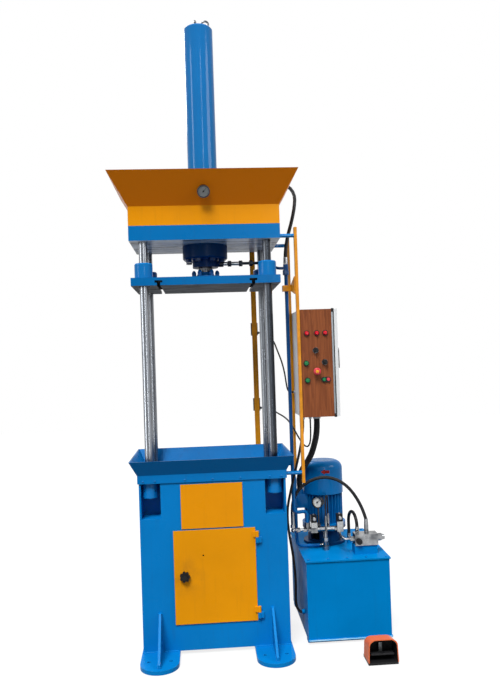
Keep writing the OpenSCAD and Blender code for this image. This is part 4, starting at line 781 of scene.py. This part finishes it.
def gaugeDial(joint, data):
    axis = Vector(jointOf[joint]["axis"]).normalized()
    centre = Vector(jointOf[joint]["pos_m"])
    up = (Vector((0, 0, 1)) - axis * axis.z).normalized()
    right = up.cross(axis)
    face = centre + axis * data["floor"]
    bm = bmesh.new()
    addRound(bm, face, axis, [(-dialPlate, data["radius"]), (dialPlate, data["radius"])], 48)
    fromBmesh(joint + "_face", bm, "machine", finishes[data["finish"]])
    bm = bmesh.new()
    for k in range(dialMarks["count"] + 1):
        turn = math.radians(90 + dialMarks["sweep"] / 2 - dialMarks["sweep"] * k / dialMarks["count"])
        out = math.cos(turn) * right + math.sin(turn) * up
        across = axis.cross(out)
        depth = dialMarks["long"] if k % 5 == 0 else dialMarks["short"]
        outer = data["radius"] - dialMarks["inset"]
        corners = [(outer - depth, -1), (outer, -1), (outer, 1), (outer - depth, 1)]
        low = [bm.verts.new(face + axis * dialPlate + out * r + across * s * dialMarks["wide"] / 2)
               for r, s in corners]
        high = [bm.verts.new(v.co + axis * dialMarks["rise"]) for v in low]
        bm.faces.new(high)
        bm.faces.new(list(reversed(low)))
        for i in range(4):
            bm.faces.new((low[i], low[(i + 1) % 4], high[(i + 1) % 4], high[i]))
    fromBmesh(joint + "_marks", bm, "machine", finishes["needleBlack"])
    bm = bmesh.new()
    addRound(bm, centre + axis * data["glass"], axis, glassShape, 48)
    fromBmesh(joint + "_glass", bm, "machine", finishes["gaugeGlass"])


for joint, data in dials.items():
    gaugeDial(joint, data)
print("gauges dressed")

# Seam of the control box: grey profile at the corner, rubber gasket and end caps
seam = {
    "proud": 0.0022, "wide": 0.005, "lap": 0.003, "clear": 0.0002, "round": 0.0006, "behind": 0.040,
    "profile": 0.015, "profileClear": 0.0004, "profileDeep": 0.001,
    "cap": 0.016, "capProud": 0.0035, "capRound": 0.0012, "capDeep": 0.004,
}


def boxSeam():
    panelLow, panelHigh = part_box("box_front_panel")
    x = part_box("box_door")[0][0]
    front, back = panelHigh[1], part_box("switchgear_plate")[1][1] + seam["behind"]
    low, high = panelLow[2], panelHigh[2]
    p, lap = seam["proud"], seam["lap"]
    left, right = x - seam["wide"], x - seam["clear"]
    bm = bmesh.new()
    for z0, z1 in ((low - p, low + lap), (high - lap, high + p)):
        addBox(bm, (left, front - p, z0), (right, back + p, z1), seam["round"])
    for y0, y1 in ((front - p, front + lap), (back - lap, back + p)):
        addBox(bm, (left, y0, low), (right, y1, high), seam["round"])
    fromBmesh("box_gasket", bm, "machine", finishes["gasketRubber"])
    edge = max(panelHigh[0] + seam["profileClear"], left - seam["profile"])
    bm = bmesh.new()
    addBox(bm, (edge, front - p, low - p / 2),
           (left - seam["clear"], front + seam["profileDeep"], high + p / 2), seam["round"])
    fromBmesh("box_profile", bm, "machine", finishes["profileGrey"])
    bm = bmesh.new()
    c, q = seam["cap"], seam["capProud"]
    for z, inward in ((low, 1), (high, -1)):
        z0, z1 = sorted((z - inward * q, z + inward * c))
        addBox(bm, (edge, front - q, z0), (x - 2 * seam["clear"], front + seam["capDeep"], z1),
               seam["capRound"])
    fromBmesh("box_caps", bm, "machine", finishes["blackPlastic"])


boxSeam()

# Operating panel: bright rings under the selectors, yellow mark on the emergency stop
panelTrim = {"ringIn": 0.0136, "ringOut": 0.0152, "ringHigh": 0.0044, "mark": 0.0088, "markHigh": 0.0014}


def dressPanel():
    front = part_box("box_front_panel")[0][1]
    bm = bmesh.new()
    for name in ("selector_upper", "selector_lower"):
        low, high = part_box(name)
        at = ((low[0] + high[0]) / 2, front, (low[2] + high[2]) / 2)
        addRing(bm, at, (0, -1, 0), panelTrim["ringIn"], panelTrim["ringOut"], panelTrim["ringHigh"])
    fromBmesh("selector_rings", bm, "machine", finishes["gaugeSteel"])
    low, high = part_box("emergency_stop")
    bm = bmesh.new()
    at = ((low[0] + high[0]) / 2, low[1] + 0.0004, (low[2] + high[2]) / 2)
    mark, rise = panelTrim["mark"], panelTrim["markHigh"]
    addRound(bm, at, (0, -1, 0), [(0, mark), (rise * 0.6, mark), (rise, mark - 0.001)], 32)
    fromBmesh("stop_mark", bm, "emergency_stop", finishes["stopYellow"])


dressPanel()

# Direction arrow on the fan cowl
arrow = {
    "height": 0.853, "from": -104.0, "to": -79.0, "half": 0.0075, "head": 12.0, "proud": 0.0006,
    "tip": 0.0001, "thick": 0.0005, "steps": 20,
}


def cowlArrow():
    low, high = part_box("motor_cowl")
    cx, cy = (low[0] + high[0]) / 2, (low[1] + high[1]) / 2
    radius = (high[0] - low[0]) / 2 + arrow["proud"]
    bm = bmesh.new()
    rows = []
    for k in range(arrow["steps"] + 1):
        turn = arrow["from"] + (arrow["to"] - arrow["from"]) * k / arrow["steps"]
        into = (turn - arrow["from"]) / arrow["head"]
        half = arrow["half"] * (2.0 * into if into < 1 else 1.0) + arrow["tip"]
        turn = math.radians(turn)
        at = Vector((cx + radius * math.cos(turn), cy + radius * math.sin(turn), 0))
        rows.append([bm.verts.new(at + Vector((0, 0, arrow["height"] + s * half))) for s in (-1, 1)])
    for a, b in zip(rows, rows[1:]):
        bm.faces.new((a[0], b[0], b[1], a[1]))
    bmesh.ops.solidify(bm, geom=list(bm.faces), thickness=-arrow["thick"])
    fromBmesh("cowl_arrow", bm, "machine", finishes["arrowRed"])


cowlArrow()

# Weld beads at the feet and their gussets
beads = {
    "radius": 0.0045, "pitch": 0.006, "sides": 8, "ripple": 0.28,
    "footX": 0.290, "footHalf": 0.096, "footEnd": 0.090, "gussetHalf": 0.006, "gussetLong": 0.192,
}


def weldBeads():
    bm = bmesh.new()

    def bead(start, end):
        start, end = Vector(start), Vector(end)
        count = max(2, int((end - start).length / beads["pitch"]) * 4)
        points = [start.lerp(end, k / count) for k in range(count + 1)]
        ripple = beads["ripple"]
        sweep(bm, points, lambda i: beads["radius"] * (1 - ripple + ripple * abs(math.sin(math.pi * i / 4))),
              beads["sides"])

    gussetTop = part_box("anchor_feet")[1][2]
    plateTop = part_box("base_cabinet")[0][2]
    half = beads["gussetHalf"]
    z = plateTop + 0.001
    for sx in (-1, 1):
        for sy in (-1, 1):
            middle = sx * beads["footX"]
            wall = sy * (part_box("bed_plate")[1][1])
            y = wall + sy * 0.001
            for side in (-1, 1):
                x = middle + side * (half + 0.001)
                bead((x, wall + sy * 0.002, z), (x, wall + sy * beads["gussetLong"], z))
                bead((x, y, plateTop + 0.004), (x, y, gussetTop - 0.003))
            bead((middle - beads["footHalf"], y, z), (middle - half - 0.004, y, z))
            bead((middle + half + 0.004, y, z), (middle + beads["footEnd"], y, z))
    fromBmesh("weld_beads", bm, "machine", finishes["bluePaint"], 70)


weldBeads()

# Terminal box lid on the motor, plug screws on the valves, bright edge of the tank as a painted highlight
trim = {
    "lid": 0.004, "lidHalf": 0.041, "lidSpan": (0.076, 0.004), "lidRound": 0.002,
    "screwSide": 0.034, "screwDrops": (0.069, 0.011), "screw": [(0, 0.0045), (0.002, 0.0045), (0.003, 0.003)],
    "plug": [(-0.004, 0.010), (0.006, 0.010), (0.008, 0.008), (0.016, 0.008), (0.017, 0.006)],
    "cap": [(-0.001, 0.006), (0.004, 0.006), (0.006, 0.004)], "plugIn": 0.017, "plugDown": 0.019,
    "highlightHeights": (0.0165, 0.0235),
}


def packTrim():
    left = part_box("motor_body")[0][0]
    cowlLow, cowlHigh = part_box("motor_cowl")
    centreY, top = (cowlLow[1] + cowlHigh[1]) / 2, cowlLow[2] - 0.001
    half, (down, up) = trim["lidHalf"], trim["lidSpan"]
    bm = bmesh.new()
    addBox(bm, (left - trim["lid"], centreY - half, top - down), (left + 0.001, centreY + half, top - up),
           trim["lidRound"])
    fromBmesh("terminal_lid", bm, "machine", finishes["bluePaint"])
    bm = bmesh.new()
    for y in (-trim["screwSide"], trim["screwSide"]):
        for drop in trim["screwDrops"]:
            addRound(bm, (left - trim["lid"], centreY + y, top - drop), (-1, 0, 0), trim["screw"], 20)
    valveLow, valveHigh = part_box("solenoid_valves")
    for x in (valveLow[0] + trim["plugIn"], valveHigh[0] - trim["plugIn"]):
        addRound(bm, (x, valveLow[1] + 0.007, valveHigh[2] - trim["plugDown"]), (0, -1, 0), trim["plug"], 20)
        addRound(bm, (x, (valveLow[1] + valveHigh[1]) / 2, valveHigh[2]), (0, 0, 1), trim["cap"], 20)
    fromBmesh("pack_screws", bm, "machine", finishes["boltSteel"])
    tankLow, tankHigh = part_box("oil_tank")
    # pale strip on the tank's bottom edge: partly a worn edge, partly a painted highlight
    bm = bmesh.new()
    bottom, upper = trim["highlightHeights"]
    addBox(bm, (tankLow[0] + 0.014, tankLow[1] - 0.0006, bottom),
           (tankHigh[0] - 0.001, tankLow[1] + 0.001, upper), 0.0004)
    fromBmesh("tank_edge_highlight", bm, "machine", finishes["edgeHighlightBlue"])


packTrim()

# Foot switch: steel tongue and ribs of the treadle
pedal = {
    "ribs": 6, "ribWide": 0.0030, "ribHigh": 0.0022, "ribDeep": 0.003, "ribRound": 0.0008, "margin": 0.012,
    "ribsFrom": (-0.060, 0.020), "ribsRun": (0.040, -0.0074),  # along y and z from the treadle's pin
    "tongueHalf": 0.0085, "tongueAhead": 0.0168, "tongueThick": 0.0012,
    "tongueDrop": 0.046, "tongueRise": 0.0006,
}


def pedalTrim():
    low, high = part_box("pedal_treadle")
    cx = (low[0] + high[0]) / 2
    pin = jointOf["treadle_press"]["pos_m"]
    bm = bmesh.new()
    half, y = pedal["tongueHalf"], pin[1] - pedal["tongueAhead"]
    addBox(bm, (cx - half, y, high[2] - pedal["tongueDrop"]),
           (cx + half, y + pedal["tongueThick"], high[2] + pedal["tongueRise"]), 0.0005)
    fromBmesh("treadle_tongue", bm, "pedal_treadle", finishes["castHousing"])
    bm = bmesh.new()
    half, margin = pedal["ribWide"] / 2, pedal["margin"]
    for k in range(pedal["ribs"]):
        t = (k + 0.5) / pedal["ribs"]
        y, z = (pin[i] + pedal["ribsFrom"][i - 1] + pedal["ribsRun"][i - 1] * t for i in (1, 2))
        for x0, x1 in ((low[0] + margin, cx - margin), (cx + margin, high[0] - margin)):
            addBox(bm, (x0, y - half, z - pedal["ribDeep"]), (x1, y + half, z + pedal["ribHigh"]),
                   pedal["ribRound"])
    fromBmesh("treadle_ribs", bm, "pedal_treadle", finishes["blackPlastic"])


pedalTrim()

# Rounded hood of the foot switch, with a black sheet inside as painted shade
hood = {"round": (0.036, 0.030), "lean": 0.003, "drop": 0.018, "wall": 0.0042, "shadeSheet": 0.0012, "steps": 8}


def hoodOutline(half, base, top, inset):
    # from the right foot over the top to the left foot
    rx, rz = hood["round"]
    half, top = half - inset, top - inset
    side = [(half, base)]
    for k in range(hood["steps"] + 1):
        t = math.pi / 2 * k / hood["steps"]
        side.append((half - hood["lean"] - rx * (1 - math.cos(t)), top - rz * (1 - math.sin(t))))
    return side + [(-x, z) for x, z in reversed(side)]


def hoodShell(name, inset, wall, finish):
    low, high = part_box("pedal_hood")
    middle, half = (low[0] + high[0]) / 2, (high[0] - low[0]) / 2
    base, top = low[2] + 0.0002, high[2]
    front, back = low[1] + inset * 0.3, high[1] - inset
    loops = []
    fall = hood["drop"]
    for y, drop, more in ((front, 0, 0), (back, fall, 0), (front, 0, wall), (back - wall, fall, wall)):
        outline = hoodOutline(half, base, top - drop, inset + more)
        loops.append([(middle + x, y, z) for x, z in outline])
    bm = bmesh.new()
    outFront, outBack, inFront, inBack = [[bm.verts.new(p) for p in loop] for loop in loops]
    for a, b in ((outFront, outBack), (inBack, inFront), (inFront, outFront)):
        for k in range(len(a) - 1):
            bm.faces.new((a[k], a[k + 1], b[k + 1], b[k]))
    bm.faces.new(outBack)
    bm.faces.new(list(reversed(inBack)))
    for k in (0, -1):
        bm.faces.new((outFront[k], outBack[k], inBack[k], inFront[k]))
    bm.faces.new((outBack[0], outBack[-1], inBack[-1], inBack[0]))
    return fromBmesh(name, bm, "machine", finishes[finish], 40)


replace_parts(hoodShell("hood_shell", 0.0, hood["wall"], "orangePaint"), "pedal_hood")
# black sheet inside the hood: painted shade
hoodShell("hood_shade_sheet", hood["wall"] + 0.0002, hood["shadeSheet"], "blackPlastic")
print("trim made")

# Floor, world and lamps
studio = {
    "floor": 0.13, "floorGlow": 0.81, "floorSize": 24.0,
    "skyUp": 0.50, "skyDown": 0.04, "skyFrom": -0.25, "skyTo": 0.65,
    "sunStrength": 3.75, "sunSpread": 24.0, "sunFrom": (-2.0, -5.4, 8.2),
    "lamps": [
        dict(name="sideLamp", at=(4.6, -2.2, 4.4), aim=(0.2, 0, 1.3), size=2.4, power=90),
        dict(name="backLamp", at=(-1.6, 4.2, 5.4), aim=(0.1, 0, 1.6), size=2.4, power=150),
    ],
    "strips": [
        dict(name="rightStrip", at=(1.0, -5.0, 2.8), wide=0.36, power=70),
        dict(name="leftStrip", at=(-4.6, -1.9, 2.8), wide=1.0, power=150),
    ],
    "stripTall": 5.4,
}


def makeFloor():
    half = studio["floorSize"] / 2
    mesh = bpy.data.meshes.new("floor")
    corners = [(-half, -half, 0), (half, -half, 0), (half, half, 0), (-half, half, 0)]
    mesh.from_pydata(corners, [], [(0, 1, 2, 3)])
    floor = bpy.data.objects.new("floor", mesh)
    floor.location.z = -0.0005
    scene.collection.objects.link(floor)
    f = Finish("paleFloor")
    tint = f.ramp(f.noise(3.0, 3), 0.3, 0.7, studio["floor"] - 0.01, studio["floor"] + 0.01)
    f.set(Base_Color=tint, Roughness=0.8)
    path = f.tree.nodes.new("ShaderNodeLightPath")
    seen = f.sums("MAXIMUM", path.outputs["Is Camera Ray"], path.outputs["Is Glossy Ray"])
    seen = f.sums("MAXIMUM", seen, path.outputs["Is Transmission Ray"])
    f.set(Emission_Color=(1, 1, 1, 1), Emission_Strength=f.sums("MULTIPLY", seen, studio["floorGlow"]))
    mesh.materials.append(f.material)


def makeWorld():
    world = bpy.data.worlds.new("studio")
    world.use_nodes = True
    tree = world.node_tree
    ground = tree.nodes["Background"]
    path = tree.nodes.new("ShaderNodeLightPath")
    place = tree.nodes.new("ShaderNodeTexCoord")
    parts = tree.nodes.new("ShaderNodeSeparateXYZ")
    tree.links.new(place.outputs["Generated"], parts.inputs["Vector"])
    height = tree.nodes.new("ShaderNodeMapRange")
    height.inputs["From Min"].default_value = studio["skyFrom"]
    height.inputs["From Max"].default_value = studio["skyTo"]
    height.inputs["To Min"].default_value = studio["skyDown"]
    height.inputs["To Max"].default_value = studio["skyUp"]
    tree.links.new(parts.outputs["Z"], height.inputs["Value"])
    top = path.outputs["Is Camera Ray"]
    for other in ("Is Glossy Ray", "Is Transmission Ray"):
        join = tree.nodes.new("ShaderNodeMath")
        join.operation = "MAXIMUM"
        tree.links.new(top, join.inputs[0])
        tree.links.new(path.outputs[other], join.inputs[1])
        top = join.outputs["Value"]
    level = tree.nodes.new("ShaderNodeMix")
    tree.links.new(top, level.inputs["Factor"])
    tree.links.new(height.outputs["Result"], level.inputs["A"])
    level.inputs["B"].default_value = 1.0
    tree.links.new(level.outputs["Result"], ground.inputs["Strength"])
    ground.inputs["Color"].default_value = (1, 1, 1, 1)
    scene.world = world


def areaLamp(lamp, aim):
    data = bpy.data.lights.new(lamp["name"], "AREA")
    data.energy = lamp["power"]
    obj = bpy.data.objects.new(lamp["name"], data)
    obj.location = lamp["at"]
    obj.rotation_euler = (Vector(aim) - Vector(lamp["at"])).to_track_quat("-Z", "Y").to_euler()
    scene.collection.objects.link(obj)
    return obj, data


def makeLamps():
    sun = bpy.data.lights.new("keySun", "SUN")
    sun.energy = studio["sunStrength"]
    sun.angle = math.radians(studio["sunSpread"])
    key = bpy.data.objects.new("keySun", sun)
    key.rotation_euler = (-Vector(studio["sunFrom"])).to_track_quat("-Z", "Y").to_euler()
    scene.collection.objects.link(key)
    for lamp in studio["lamps"]:
        obj, data = areaLamp(lamp, lamp["aim"])
        data.shape = "DISK"
        data.size = lamp["size"]
    for strip in studio["strips"]:  # seen in gloss only, as upright lines
        obj, data = areaLamp(strip, (0, 0, strip["at"][2]))
        data.shape = "RECTANGLE"
        data.size, data.size_y = strip["wide"], studio["stripTall"]
        obj.visible_diffuse = False
        obj.visible_camera = False


makeFloor()
makeWorld()
makeLamps()
scene.view_settings.view_transform = "Standard"
print("studio lit")
